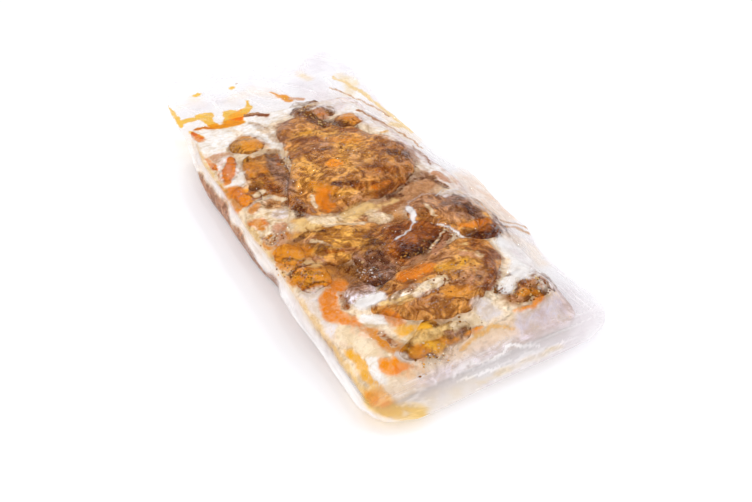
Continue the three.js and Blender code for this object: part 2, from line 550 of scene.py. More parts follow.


# The stains of the food, by reading, each dab over those before it. A few thin cream lines are
# painted highlights, and the LILAC dabs painted shadow.
STAINS_AND_PAINTED_LIGHT = (
    # Clear or milky jelly round the slices.
    dab(Tone.MILK, 14, 1.0, (-66, 90), (70, 92)),
    dab(Tone.MILK, 9, 1.0, (-26, 72), (-22, 50)),
    dab(Tone.PEACH, 8, 0.9, (-58, 60), (-56, 20)),
    dab(Tone.PEARL, 9, 0.9, (52, -20), (60, -60)),
    dab(Tone.MILK, 14, 1.0, (66, 60), (66, -30)),
    dab(Tone.MILK, 12, 1.0, (58, -96), (54, -126)),
    dab(Tone.MILK, 12, 1.0, (-52, 78), (-50, 66)),
    dab(Tone.MILK, 9, 1.0, (-30, 80), (-14, 82)),
    dab(Tone.MILK, 12, 1.0, (50, 90), (54, 40), (58, 10)),
    dab(Tone.MILK, 9, 1.0, (32, 82), (44, 50)),
    dab(Tone.MILK, 8, 1.0, (53, 22), (56, -20)),
    dab(Tone.GREY, 3.5, 0.55, (-24, 78), (-20, 66), (-19, 50)),
    dab(Tone.GOLD, 11, 1.0, (-44, -50), (-14, -60)),
    dab(Tone.TAN, 9, 1.0, (-4, -44), (30, -36), (46, -28)),
    dab(Tone.HONEY, 8, 1.0, (-40, -70), (-34, -84)),
    dab(Tone.BROWN, 6, 0.8, (-38, -74), (-32, -86)),
    dab(Tone.HONEY, 6, 0.9, (-44, 30), (-40, 0), (-44, -10)),
    dab(Tone.AMBER, 5, 0.8, (-61, 10), (-60, -6)),
    dab(Tone.HONEY, 5, 0.8, (-10, -92), (20, -88)),
    dab(Tone.BROWN, 4, 0.9, (-26, -64), (-22, -72)),
    dab(Tone.TAN, 6, 1.0, (-46, -42), (-40, -46)),
    dab(Tone.UMBER, 1.2, 1.0, (-48, -45), (-40, -40), (-30, -43)),
    dab(Tone.HONEY, 5, 0.9, (-14, -50), (8, -52)),
    dab(Tone.TAN, 5, 0.8, (48, 0), (50, -16)),
    dab(Tone.STRAW, 6, 0.9, (-60, -20), (-60, -70)),
    dab(Tone.PEARL, 5, 0.9, (-58, -88), (-56, -112)),
    # The crumbled crust and the fat beside it.
    dab(Tone.UMBER, 4, 1.0, (8, 79), (11, 68), (15, 55)),
    dab(Tone.OLIVE, 4, 0.7, (14, 80), (22, 84)),
    dab(Tone.CREAM, 1.6, 0.9, (10, 79)),
    dab(Tone.ROSE, 3.4, 0.9, (20, 72), (20, 63)),
    dab(Tone.TANGERINE, 2.6, 0.7, (19, 68)),
    dab(Tone.UMBER, 4, 0.95, (19, 56), (27, 50)),
    dab(Tone.AMBER, 4, 0.95, (34, 57), (35, 49)),
    dab(Tone.RUST, 3, 0.9, (22, 43), (30, 40)),
    # The big slice.
    dab(Tone.BROWN, 6, 0.75, (-8, 66), (-13, 50)),
    dab(Tone.HONEY, 4, 0.9, (-3, 64), (2, 58)),
    dab(Tone.UMBER, 2, 0.8, (-10, 47), (-5, 47)),
    dab(Tone.GOLD, 4, 1.0, (-3, 50), (10, 47), (20, 40)),
    dab(Tone.YELLOW, 2, 0.6, (-2, 52), (8, 49)),
    dab(Tone.RUST, 4.5, 0.9, (-4, 42), (3, 41)),
    dab(Tone.BROWN, 6, 0.8, (-16, 30), (-4, 34), (4, 27)),
    dab(Tone.GOLD, 2.6, 0.8, (-13, 36)),
    dab(Tone.ROSE, 2.8, 1.0, (5, 33)),
    dab(Tone.UMBER, 2, 0.8, (7, 28), (3, 29)),
    dab(Tone.AMBER, 4, 0.7, (14, 35), (24, 28)),
    dab(Tone.GOLD, 9, 0.9, (18, 22), (12, 8)),
    dab(Tone.TAN, 4, 0.6, (17, 16), (14, 4)),
    dab(Tone.GOLD, 6, 0.8, (-16, 22), (-12, 8), (-18, -2)),
    dab(Tone.ORANGE, 4.5, 0.85, (2, 11)),
    dab(Tone.GOLD, 4, 0.5, (-24, 3), (-20, -3)),
    dab(Tone.BROWN, 6, 0.9, (34, 14), (44, 8), (42, -6)),
    dab(Tone.UMBER, 3, 0.8, (37, 6), (42, 0)),
    dab(Tone.GREY, 2, 0.7, (40, 14)),
    dab(Tone.BROWN, 9, 0.8, (20, -6), (32, -16)),
    dab(Tone.UMBER, 2.8, 1.0, (-8, -8), (0, -12), (7, -16)),
    dab(Tone.RUST, 3.6, 0.95, (4, -17), (14, -19), (26, -24)),
    dab(Tone.RUST, 4, 0.8, (10, -28), (28, -26)),
    dab(Tone.TANGERINE, 2.4, 0.6, (10, -22), (20, -21)),
    dab(Tone.TAN, 4.4, 0.6, (-4, -22), (0, -30)),
    dab(Tone.GOLD, 3, 0.8, (-8, -18), (-2, -20)),
    dab(Tone.AMBER, 4.5, 0.9, (-18, -4), (-12, -12)),
    dab(Tone.TANGERINE, 4, 1.0, (-18, -12), (-21, -20), (-20, -27)),
    # Painted highlight: a thin cream streak where a white glint lies.
    dab(Tone.CREAM, 1.6, 0.9, (-24, -12), (-26, -22)),
    dab(Tone.BROWN, 6, 1.0, (-35, -14), (-34, -24)),
    dab(Tone.UMBER, 2.4, 0.8, (-37, -26), (-33, -20)),
    dab(Tone.RUST, 3.4, 0.9, (-36, -8), (-37, -3)),
    dab(Tone.UMBER, 1.3, 1.0, (-34, -31), (-20, -33), (-10, -35)),
    dab(Tone.BROWN, 3, 0.8, (-18, -30), (-8, -31)),
    dab(Tone.UMBER, 1.8, 0.8, (12, -34), (20, -35)),
    # The slices and lumps along the left side.
    dab(Tone.AMBER, 7, 0.85, (-36, 58), (-32, 50)),
    dab(Tone.OLIVE, 3.0, 0.95, (-46, 55), (-41, 58)),
    dab(Tone.OLIVE, 1.6, 0.8, (-38, 62), (-30, 60)),
    dab(Tone.RUST, 1.3, 0.8, (-40, 47), (-32, 47)),
    dab(Tone.CREAM, 3, 0.9, (-36, 42), (-28, 44)),
    dab(Tone.HONEY, 4, 0.8, (-36, 40), (-33, 30)),
    dab(Tone.AMBER, 5, 0.75, (-42, 32), (-38, 24)),
    dab(Tone.RUST, 5, 0.95, (-44, 20), (-40, 8), (-37, -2)),
    dab(Tone.GREY, 3.8, 1.0, (-26, 40), (-30, 26), (-31, 8), (-32, -3)),
    dab(Tone.OLIVE, 3, 0.9, (-26, 42), (-26, 37)),
    dab(Tone.RUST, 1.6, 0.8, (-25, 34), (-27, 26)),
    dab(Tone.CREAM, 2, 0.8, (-20, 37), (-22, 26)),
    dab(Tone.ROSE, 3, 0.7, (-58, 50), (-50, 50)),
    dab(Tone.MILK, 5, 1.0, (-53, 42), (-54, 30), (-57, 20)),
    dab(Tone.TANGERINE, 2.6, 1.0, (-50, 44), (-55, 34), (-60, 22)),
    dab(Tone.TANGERINE, 2.2, 0.8, (-62, 50), (-62, 38)),
    dab(Tone.GOLD, 4, 1.0, (-54, 14), (-46, 17)),
    dab(Tone.OLIVE, 2.4, 0.7, (-50, 8), (-45, 12)),
    dab(Tone.TANGERINE, 5, 1.0, (-60, 12), (-60, 2), (-62, -4)),
    dab(Tone.RUST, 2, 0.9, (-52, 1), (-47, 2)),
    # Painted highlights: thin cream marks and a white line where glints lie.
    dab(Tone.CREAM, 1.8, 1.0, (-50, 2), (-46, 5)),
    dab(Tone.CREAM, 1.7, 1.0, (-63, -9), (-52, -3), (-44, -2), (-39, -8)),
    dab(Tone.CREAM, 7, 1.0, (-56, -14), (-46, -20), (-50, -30)),
    dab(Tone.AMBER, 2.6, 0.95, (-57, -10), (-54, -6)),
    dab(Tone.TANGERINE, 3.4, 1.0, (-60, -20), (-57, -22)),
    dab(Tone.OLIVE, 2, 0.9, (-48, -11)),
    dab(Tone.PEARL, 3.4, 0.9, (-45, -19)),
    dab(Tone.GOLD, 2.4, 0.9, (-53, -15), (-44, -27), (-36, -31)),
    dab(Tone.RUST, 3, 0.8, (-60, -36), (-52, -35)),
    dab(Tone.AMBER, 4.5, 0.95, (-61, -41), (-52, -38)),
    dab(Tone.CREAM, 2, 0.9, (-62, -31), (-58, -31)),
    dab(Tone.ROSE, 3, 0.8, (-56, -46), (-50, -30)),
    # The pale ridge and the gold slice under it.
    dab(Tone.STRAW, 5, 1.0, (-38, -34), (-34, -36)),
    dab(Tone.CREAM, 3.6, 1.1, (-30, -33), (-22, -36), (-12, -39)),
    dab(Tone.GOLD, 3.4, 0.8, (-44, -41), (-26, -43)),
    dab(Tone.CREAM, 1.1, 1.0, (-28, -40), (-18, -44), (-10, -48)),
    dab(Tone.STRAW, 5, 1.0, (-12, -37), (-2, -37)),
    dab(Tone.STRAW, 2.6, 0.6, (4, -39), (14, -38)),
    dab(Tone.BROWN, 2.4, 0.9, (6, -42), (18, -42)),
    dab(Tone.CREAM, 4.6, 1.0, (-2, -45), (1, -51)),
    dab(Tone.GOLD, 6, 0.9, (-30, -50), (-18, -56)),
    dab(Tone.CREAM, 1.2, 0.9, (-40, -48), (-33, -56)),
    dab(Tone.OLIVE, 4.4, 1.0, (-42, -54), (-36, -58)),
    dab(Tone.RUST, 2, 0.8, (-37, -60), (-30, -62)),
    dab(Tone.GOLD, 5, 0.6, (-26, -64), (-18, -60)),
    dab(Tone.ROSE, 2, 0.7, (-46, -60), (-42, -66)),
    dab(Tone.AMBER, 6, 1.0, (-56, -50), (-48, -54)),
    dab(Tone.AMBER, 5, 0.95, (-60, -58), (-54, -62)),
    dab(Tone.STRAW, 3, 0.8, (-50, -63), (-46, -67)),
    dab(Tone.AMBER, 6.5, 1.0, (-57, -71), (-49, -75)),
    dab(Tone.OLIVE, 1.6, 0.9, (-58, -68), (-52, -69), (-47, -73)),
    dab(Tone.UMBER, 1.0, 0.9, (-55, -78), (-47, -79)),
    dab(Tone.OLIVE, 1.4, 0.9, (-58, -55), (-50, -59)),
    dab(Tone.UMBER, 0.9, 0.8, (-60, -66), (-54, -64), (-48, -65)),
    dab(Tone.OLIVE, 2.6, 0.8, (-56, -75), (-52, -76)),
    dab(Tone.PEARL, 4.4, 0.9, (-58, -84), (-52, -86)),
    # The dark middle slice.
    dab(Tone.BROWN, 5, 0.8, (-8, -58), (8, -57)),
    dab(Tone.RUST, 7, 1.0, (-8, -64), (14, -68)),
    dab(Tone.UMBER, 6, 1.0, (0, -78), (16, -78)),
    dab(Tone.CHAR, 1.8, 1.2, (-5, -80), (4, -82), (14, -81)),
    dab(Tone.CHAR, 2.0, 0.9, (8, -74), (15, -79)),
    dab(Tone.TAN, 2.4, 0.7, (-24, -77), (-20, -80)),
    dab(Tone.RUST, 3.4, 1.0, (4, -70), (20, -70)),
    dab(Tone.UMBER, 5, 0.8, (-14, -66), (-16, -76)),
    dab(Tone.GREY, 6, 0.8, (-26, -74), (-20, -84)),
    dab(Tone.UMBER, 3.4, 0.8, (-34, -74), (-30, -84)),
    dab(Tone.TAN, 2.0, 0.6, (-18, -70), (-10, -84)),
    dab(Tone.TAN, 3, 0.8, (-2, -84), (10, -84)),
    dab(Tone.ROSE, 1.8, 0.9, (10, -86), (20, -80), (26, -76)),
    dab(Tone.CREAM, 0.6, 1.0, (8, -84), (22, -74), (28, -72)),
    # The crossed slices on the right.
    dab(Tone.TAN, 6, 0.9, (24, -48), (32, -46)),
    dab(Tone.BROWN, 3, 0.9, (23, -52), (24, -62)),
    dab(Tone.CREAM, 1.2, 0.9, (27, -49), (27, -60)),
    dab(Tone.TAN, 4.0, 0.8, (33, -56), (34, -66)),
    dab(Tone.TANGERINE, 3.0, 0.75, (35, -73), (41, -77)),
    dab(Tone.BROWN, 2, 0.8, (37, -46), (38, -66)),
    dab(Tone.PEARL, 2.6, 1.0, (41, -46), (46, -45), (51, -49)),
    dab(Tone.GREY, 5.4, 1.0, (43, -54), (44, -74)),
    dab(Tone.UMBER, 3, 0.6, (43, -60), (45, -66)),
    dab(Tone.UMBER, 4.4, 1.0, (36, -84), (52, -84)),
    dab(Tone.RUST, 3, 0.9, (42, -79), (52, -78)),
    dab(Tone.GOLD, 2, 0.9, (52, -56), (53, -68), (48, -78)),
    # Painted highlight: a thin cream line along the clear slice's rim.
    dab(Tone.CREAM, 0.9, 1.2, (50, -48), (55, -54), (56, -66), (52, -75)),
    dab(Tone.TANGERINE, 3.0, 0.7, (40, -76), (48, -77)),
    dab(Tone.TAN, 4, 0.8, (48, -28), (50, -38)),
    dab(Tone.UMBER, 2, 0.8, (43, -28), (45, -40)),
    dab(Tone.GREY, 3, 0.7, (34, -22), (42, -24)),
    dab(Tone.TAN, 2.0, 0.7, (20, -36), (30, -33), (38, -32)),
    dab(Tone.UMBER, 0.9, 1.2, (12, -33), (28, -28), (34, -25), (42, -27), (44, -34), (47, -40)),
    dab(Tone.ROSE, 2.4, 0.7, (48, -26), (52, -36)),
    dab(Tone.ROSE, 5, 0.55, (60, -44), (62, -74)),
    dab(Tone.MILK, 5, 0.9, (58, -20), (60, -50)),
    # The low slice and what lies round it.
    dab(Tone.GREY, 4.4, 0.9, (-38, -86), (-34, -92)),
    dab(Tone.GREY, 3, 0.6, (-38, -92), (-32, -90)),
    dab(Tone.UMBER, 3.6, 0.9, (-27, -88), (-24, -96)),
    dab(Tone.GREY, 2.6, 0.9, (-18, -91)),
    dab(Tone.TAN, 4, 0.7, (-4, -89), (14, -89)),
    dab(Tone.TANGERINE, 4, 1.0, (-12, -95), (2, -94)),
    dab(Tone.BROWN, 3, 0.8, (-20, -101), (-12, -101)),
    dab(Tone.YELLOW, 2.6, 0.75, (6, -98), (12, -97)),
    dab(Tone.GOLD, 5, 0.9, (10, -99), (24, -99)),
    dab(Tone.YELLOW, 1.6, 0.75, (17, -100), (21, -98)),
    dab(Tone.ROSE, 2.2, 0.7, (22, -92), (27, -98)),
    dab(Tone.STRAW, 0.6, 0.9, (24, -86), (32, -88), (37, -92)),
    dab(Tone.STRAW, 0.5, 0.9, (22, -90), (30, -94), (36, -98)),
    dab(Tone.RUST, 4.4, 0.9, (32, -90), (34, -102)),
    dab(Tone.CREAM, 1.2, 0.6, (28, -96), (34, -106)),
    dab(Tone.MILK, 3.6, 1.0, (-40, -101), (-29, -101)),
    dab(Tone.STRAW, 2, 1.0, (-30, -105), (-22, -108), (-12, -108)),
    dab(Tone.CREAM, 2.7, 1.0, (-12, -107), (-4, -104), (3, -105)),
    dab(Tone.BROWN, 6, 0.6, (-18, -116), (-8, -112)),
    dab(Tone.AMBER, 4, 0.6, (0, -114), (8, -116)),
    dab(Tone.HONEY, 5, 0.9, (-12, -123), (2, -122)),
    dab(Tone.TAN, 3, 0.7, (8, -112), (16, -106)),
    dab(Tone.ROSE, 3, 0.7, (14, -112), (22, -110)),
    dab(Tone.RUST, 3.0, 1.0, (31, -102), (27, -112), (18, -119)),
    dab(Tone.GREY, 3, 0.7, (24, -107), (18, -112)),
    dab(Tone.MILK, 3, 1.0, (-42, -110), (-36, -114)),
    dab(Tone.TANGERINE, 3.6, 0.7, (-32, -112), (-30, -122)),
    dab(Tone.TANGERINE, 4.4, 1.0, (-43, -84), (-51, -92), (-54, -100), (-50, -108)),
    dab(Tone.RUST, 2, 0.9, (-45, -90), (-46, -100)),
    dab(Tone.TANGERINE, 3.4, 1.0, (-49, -110), (-46, -119)),
    dab(Tone.AMBER, 4.4, 1.0, (-44, -121), (-39, -130)),
    dab(Tone.RUST, 2, 0.8, (-40, -122), (-38, -129)),
    dab(Tone.YELLOW, 3.2, 1.0, (-31, -125), (-22, -128)),
    dab(Tone.MILK, 6, 1.0, (46, -96), (44, -112), (38, -118)),
    dab(Tone.MILK, 3.6, 1.0, (32, -120), (24, -124)),
    dab(Tone.UMBER, 1.0, 1.0, (31, -117), (39, -116)),
    dab(Tone.UMBER, 1.3, 0.9, (22, -121), (20, -125)),
    # The near end.
    dab(Tone.STRAW, 4.4, 0.95, (-28, -132), (-12, -134)),
    dab(Tone.CREAM, 4.0, 0.9, (-6, -134), (6, -134)),
    dab(Tone.PEARL, 4.6, 1.0, (9, -127), (10, -134)),
    dab(Tone.TAN, 4.4, 1.0, (24, -131), (40, -127), (48, -128)),
    dab(Tone.GREY, 2.6, 0.8, (46, -126), (49, -130)),
    dab(Tone.RUST, 2.4, 0.9, (33, -125), (36, -124)),
    dab(Tone.AMBER, 2.6, 0.9, (30, -130), (36, -132)),
    dab(Tone.AMBER, 5, 0.8, (-31, -140), (-14, -141)),
    dab(Tone.GOLD, 2.6, 0.8, (-30, -136), (-18, -135)),
    dab(Tone.GREY, 2.6, 0.8, (-14, -136), (-8, -138)),
    dab(Tone.YELLOW, 2.4, 0.9, (-24, -137), (-21, -145)),
    dab(Tone.ORANGE, 1.8, 1.0, (-6, -141), (0, -140)),
    dab(Tone.ORANGE, 2.2, 1.0, (21, -140), (30, -140), (36, -137)),
    dab(Tone.UMBER, 0.9, 0.9, (9, -140), (19, -139)),
    dab(Tone.PEARL, 3, 0.9, (-39, -137), (-38, -146)),
    dab(Tone.PEACH, 7, 0.9, (-52, -118), (-53, -136)),
    dab(Tone.CREAM, 3, 0.9, (-54, -112), (-50, -128)),
    dab(Tone.ORANGE, 4.8, 1.2, (-45, -141), (-40, -147)),
    dab(Tone.ORANGE, 2.4, 1.0, (-48, -139), (-45, -143)),
    dab(Tone.ORANGE, 2, 0.9, (-47, -136), (-46, -140)),
    dab(Tone.YELLOW, 2.4, 1.0, (-57, -124), (-56, -136), (-56, -148)),
    dab(Tone.MILK, 2.6, 0.9, (-52, -134), (-52, -150)),
    dab(Tone.CREAM, 10, 1.0, (-44, -156), (-20, -154), (20, -150)),
    dab(Tone.YELLOW, 4, 0.95, (-60, -150), (-57, -160), (-48, -165)),
    dab(Tone.YELLOW, 3, 0.7, (-37, -152), (-31, -153)),
    dab(Tone.PEACH, 7, 1.0, (-16, -149), (8, -147)),
    dab(Tone.YELLOW, 1.6, 0.7, (-14, -146), (-4, -143), (6, -141), (12, -146)),
    # Painted shadow: grey-lavender where the floor's shadow shows through the film at the near end.
    dab(Tone.LILAC, 6, 1.0, (-18, -159), (16, -159)),
    dab(Tone.LILAC, 8, 1.0, (24, -150), (44, -146)),
    dab(Tone.MILK, 10, 1.0, (-40, -174), (40, -169)),
    # The grease along the left seam.
    dab(Tone.STRAW, 2.2, 0.8, (-66, 80), (-66, 20)),
    dab(Tone.AMBER, 2, 0.6, (-66, 20), (-66, -4)),
    dab(Tone.STRAW, 2.4, 0.9, (-65, -30), (-66, -70), (-64, -110), (-62, -150)),
    dab(Tone.TANGERINE, 2.4, 0.9, (-62, 84), (-58, 74)),
    dab(Tone.GOLD, 1.8, 0.9, (-64, 24), (-64, 8)),
    dab(Tone.AMBER, 1.8, 0.9, (-63, 3), (-63, -4)),
    dab(Tone.AMBER, 2.2, 0.9, (-59, -20), (-59, -26)),
    dab(Tone.OLIVE, 2.4, 0.9, (-58, -35), (-58, -40)),
    # Last touches on the side slice, on the big slice and in the near corner.
    dab(Tone.AMBER, 2.6, 0.8, (-45, 29), (-45, 22)),
    dab(Tone.RUST, 3, 0.8, (19, -5), (27, -10)),
    dab(Tone.STRAW, 2.6, 0.8, (-58, -147), (-57, -153)),
)

# Where the film looks white, by reading: broad patches where it stands off the food and is milky, and
# thin lines and wisps that are painted highlights on its creases.
HAZE_AND_HIGHLIGHTS = (
    dab(None, 9, 0.45, (-52, 74), (-44, 70)),
    dab(None, 3, 0.4, (-54, 38), (-56, 26)),
    dab(None, 1.0, 0.5, (-62, -8), (-50, -2), (-42, -3)),
    dab(None, 1.9, 1.1, (18, -47), (16, -54)),
    dab(None, 1.2, 1.1, (17, -50), (14, -60)),
    dab(None, 0.6, 0.8, (14, -60), (8, -64), (-2, -68)),
    dab(None, 0.7, 0.5, (13, -50), (20, -43), (30, -40), (37, -42)),
    dab(None, 0.7, 0.9, (24, -67), (28, -72), (29.5, -77), (28.5, -83)),
    dab(None, 1.0, 0.6, (50, -52), (56, -56)),
    dab(None, 0.8, 0.4, (-28, -40), (-18, -44), (-10, -48)),
    dab(None, 0.8, 0.4, (-40, -48), (-33, -56)),
    dab(None, 3.0, 0.9, (-40, -101), (-29, -101)),
    dab(None, 1.6, 0.7, (-42, -108), (-36, -113)),
    dab(None, 5, 0.9, (46, -96), (44, -112), (38, -118)),
    dab(None, 2.4, 0.8, (32, -120), (24, -125)),
    dab(None, 5, 0.35, (52, 44), (54, 10), (56, -16)),
    dab(None, 6, 0.25, (60, -90), (58, -128)),
    dab(None, 1.1, 1.0, (47, 58), (51, 45), (53, 36)),
    dab(None, 0.7, 0.8, (39, 80), (46, 64)),
    dab(None, 4.5, 0.55, (57, -86), (60, -104)),
    dab(None, 0.6, 0.4, (31, -41), (41, -38), (50, -44)),
    dab(None, 0.6, 0.7, (37, -45), (42, -42), (50, -46)),
    dab(None, 0.6, 0.35, (14, -31), (26, -33), (40, -30)),
    dab(None, 0.9, 0.9, (-26, -157), (-20, -154), (-8, -156), (0, -157), (5, -154), (16, -160)),
    dab(None, 0.9, 0.8, (-26, -160), (-10, -162), (8, -163), (26, -163)),
    dab(None, 4, 0.3, (22, -146), (26, -158)),
)

# Faint colour of the film where grease clings to it; the LILAC dabs are painted shade, the
# grey-lavender of shadow seen through the film.
VEILS = (
    dab(Tone.LILAC, 10, 0.9, (28, 110), (34, 76)),
    dab(Tone.LILAC, 5, 0.9, (34, 128), (44, 142), (60, 150)),
    dab(Tone.PEACH, 4, 0.8, (31, 128), (33, 118)),
    dab(Tone.STRAW, 2.4, 0.8, (32, 124), (33, 117)),
    dab(Tone.PEACH, 5, 0.6, (-56, 120), (-46, 118), (-46, 128)),
    dab(Tone.PEACH, 6, 0.7, (-24, 112), (-6, 120), (2, 108)),
    dab(Tone.LILAC, 6, 0.6, (-56, 112), (-34, 118)),
    dab(Tone.STRAW, 4, 0.7, (55, 112), (56, 96), (48, 84)),
    dab(Tone.STRAW, 4.4, 1.0, (58, 105), (56, 96)),
    dab(Tone.LILAC, 6, 1.0, (46, 130), (58, 146)),
    dab(Tone.LILAC, 7, 0.8, (60, 124), (64, 112)),
    dab(Tone.LILAC, 4, 0.8, (44, 40), (40, 52)),
    dab(Tone.PEACH, 3, 0.8, (56, 60), (55, 36), (58, 10)),
    dab(Tone.LILAC, 3, 0.9, (50, 16), (52, -14)),
    dab(Tone.PEACH, 7, 0.9, (61, -36), (62, -60), (60, -80)),
    dab(Tone.LILAC, 4, 0.8, (56, -86), (60, -100), (57, -126)),
    dab(Tone.PEACH, 3, 0.8, (50, -92), (54, -104), (52, -118)),
    dab(Tone.LILAC, 9, 0.9, (20, -152), (48, -142)),
    dab(Tone.LILAC, 4, 0.9, (-24, -167), (20, -168), (50, -156)),
    dab(Tone.STRAW, 1.4, 0.8, (-18, -164), (4, -165), (24, -165)),
    dab(Tone.LILAC, 2.0, 0.5, (-67, 60), (-68, 0), (-66, -60), (-63, -130)),
    dab(Tone.ROSE, 5, 0.5, (60, -40), (63, -58), (62, -76)),
    dab(Tone.YELLOW, 4.2, 2.0, (-60, -150), (-57, -160), (-47, -167)),
    dab(Tone.CREAM, 4.0, 0.9, (-40, -164), (-22, -164)),
)

# Grease squeezed in between the two films, by reading, each dab over those before it.
SEEPS = (
    # The pool at the near end.
    dab(Tone.YELLOW, 3.0, 0.45, (-44, -142), (-40, -148)),
    # The pool at the empty end, its arms and the specks round it.
    dab(Tone.YELLOW, 1.0, 1.6, (-65, 126), (-64, 108)),
    dab(Tone.YELLOW, 1.5, 2.6, (-64, 108), (-65, 96)),
    dab(Tone.YELLOW, 2.2, 3.0, (-63, 100), (-56, 101)),
    dab(Tone.YELLOW, 3.0, 3.0, (-50, 102), (-45, 101)),
    dab(Tone.YELLOW, 2.8, 3.0, (-48, 100), (-47, 93), (-46, 88)),
    dab(Tone.AMBER, 1.0, 1.6, (-57, 88), (-50, 86), (-43, 83)),
    dab(Tone.YELLOW, 1.8, 2.2, (-47, 87), (-42, 83), (-36, 82), (-30, 83)),
    dab(Tone.YELLOW, 4.2, 3.0, (-32, 96), (-32, 90), (-35, 86)),
    dab(Tone.ORANGE, 3.4, 3.0, (-30, 91), (-23, 95)),
    dab(Tone.YELLOW, 2.4, 3.0, (-22, 95), (-19, 99)),
    dab(Tone.YELLOW, 1.1, 2.4, (-19, 99), (-17, 107)),
    dab(Tone.BROWN, 1.5, 1.8, (-24, 89), (-17, 88), (-11, 84)),
    dab(Tone.YELLOW, 1.4, 1.2, (-61, 86), (-58, 76)),
    dab(Tone.TANGERINE, 1.3, 1.0, (3, 112), (5, 101)),
    dab(Tone.TANGERINE, 3.2, 2.0, (8, 101), (9, 96)),
    dab(Tone.ROSE, 2.0, 1.2, (11, 96), (17, 92)),
    dab(Tone.YELLOW, 1.5, 1.4, (-44, 131), (-41, 132)),
    dab(Tone.YELLOW, 2.2, 1.4, (-19, 130)),
    dab(Tone.OLIVE, 1.0, 1.0, (-14, 134)),
    # Thin lines of grease in the creases of the right side.
    dab(Tone.STRAW, 1.3, 1.4, (50, 112), (54, 96), (57, 80), (58, 62), (59, 40), (60, 20)),
    dab(Tone.TAN, 0.7, 1.1, (40, 98), (48, 80), (54, 62), (57, 44)),
    dab(Tone.TAN, 0.6, 1.0, (43, 62), (49, 42), (54, 20), (56, 0)),
    dab(Tone.BROWN, 0.5, 0.9, (51, 6), (52, -8), (51, -16)),
    dab(Tone.STRAW, 2.4, 1.0, (54, 36), (57, 30)),
    dab(Tone.STRAW, 1.4, 1.0, (42, 29), (46, 28)),
    dab(Tone.TAN, 0.6, 1.3, (50, -81), (57, -88), (63, -103)),
    dab(Tone.TAN, 0.6, 1.0, (55, -80), (62, -91), (65, -106)),
)


@dataclass
class Slice:
    """One slice or lump of food that presses up against the film.

    Its outline is a ring of readings. Its top follows the film's own height, less a sink, and rounds
    over at the rim.
    """

    name: str
    ring: tuple
    tone: Tone
    sink: float = 0.3
    brow: float = 5.0
    fall: float = 3.4
    thick: float = 8.0
    grain: float = 20.0
    fibre: float = 0.45
    lump: float = 1.0
    seed: int = 1
    centre: tuple = field(init=False, default=(0.0, 0.0))
    height_guess: float = 20.0
    height_rounds: int = 4
    bearing_count: int = 721
    ease: int = 30
    grain_sway: float = 2.2
    fibre_size: float = 2.4
    fibre_stretch: float = 5.0
    lump_size: float = 9.0

    def settle(self, sight: Sight, pouch: Pouch) -> None:
        """Carries the outline to where it lies, and turns it into a radius for each bearing.

        Args:
            sight: The camera's lines of sight.
            pouch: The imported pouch, for the film's height.
        """
        rx, ry = np.array(self.ring, float).T
        height = np.full(len(rx), self.height_guess)
        for _ in range(self.height_rounds):
            x, y = sight.carry(rx, ry, height)
            height = pouch.raster.sample(pouch.top, x, y) - self.sink - 0.5 * self.fall
        self.centre = (float(x.mean()), float(y.mean()))
        bearing = np.arctan2(y - self.centre[1], x - self.centre[0])
        reach = np.hypot(x - self.centre[0], y - self.centre[1])
        order = np.argsort(bearing)
        self.bearings = np.linspace(-np.pi, np.pi, self.bearing_count)
        reach = np.interp(self.bearings, bearing[order], reach[order], period=2 * np.pi)
        weights = np.hanning(2 * self.ease + 1)
        loop = np.concatenate([reach[-self.ease - 1:-1], reach, reach[1:self.ease + 1]])
        eased = np.convolve(loop, weights / weights.sum(), mode="valid")
        rim = Noise(90 + self.seed)
        cx, cy = 40 * np.cos(self.bearings), 40 * np.sin(self.bearings)
        self.reaches = eased * (1 + 0.05 * rim.rough(cx, cy, 16, 3))
        self.noise = Noise(300 + self.seed)

    @property
    def size(self) -> float:
        """Mean radius, in mm."""
        return float(self.reaches.mean())

    def reach(self, bearing: Array) -> Array:
        """Radius of the outline at bearings from its centre."""
        return np.interp(bearing, self.bearings, self.reaches)

    def grained(self, x: Array, y: Array) -> tuple[Array, Array]:
        """Measures places along and across the grain of the meat.

        Args:
            x: Places across the pouch.
            y: Places along it.

        Returns:
            Places along and across the grain, in mm.
        """
        turn = math.radians(self.grain)
        dx, dy = x - self.centre[0], y - self.centre[1]
        sway = self.grain_sway * self.noise.at(dx, dy, 26)
        along = dx * math.cos(turn) + dy * math.sin(turn)
        return along, dy * math.cos(turn) - dx * math.sin(turn) + sway

    def top(self, pouch: Pouch, x: Array, y: Array, share: Array, reach: Array) -> Array:
        """Height of the upper side.

        Args:
            pouch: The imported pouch.
            x: Places across.
            y: Places along.
            share: Distance from the centre over the outline's radius.
            reach: The outline's radius on that bearing.

        Returns:
            Heights, in mm.
        """
        inside = np.clip((1 - share) * reach / self.brow, 0, 1)
        rim = 1 - np.sqrt(np.clip(1 - (1 - inside) ** 2, 0, 1))
        along, across = self.grained(x, y)
        fibre = self.noise.rough(along / self.fibre_stretch, across, self.fibre_size, 2)
        lump = self.noise.rough(x, y, self.lump_size, 4)
        relief = self.fibre * fibre + self.lump * lump
        return pouch.raster.sample(pouch.top, x, y) - self.sink - self.fall * rim + relief

    def cover(self, pouch: Pouch, x: Array, y: Array) -> Array:
        """Height of the upper side at any place.

        Args:
            pouch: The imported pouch.
            x: Places across.
            y: Places along.

        Returns:
            Heights, in mm, and NO_FOOD outside the outline.
        """
        dx, dy = x - self.centre[0], y - self.centre[1]
        reach = self.reach(np.arctan2(dy, dx))
        share = np.hypot(dx, dy) / reach
        inside = share < 1
        height = np.full(x.shape, NO_FOOD)
        height[inside] = self.top(pouch, x[inside], y[inside], share[inside], reach[inside])
        return height


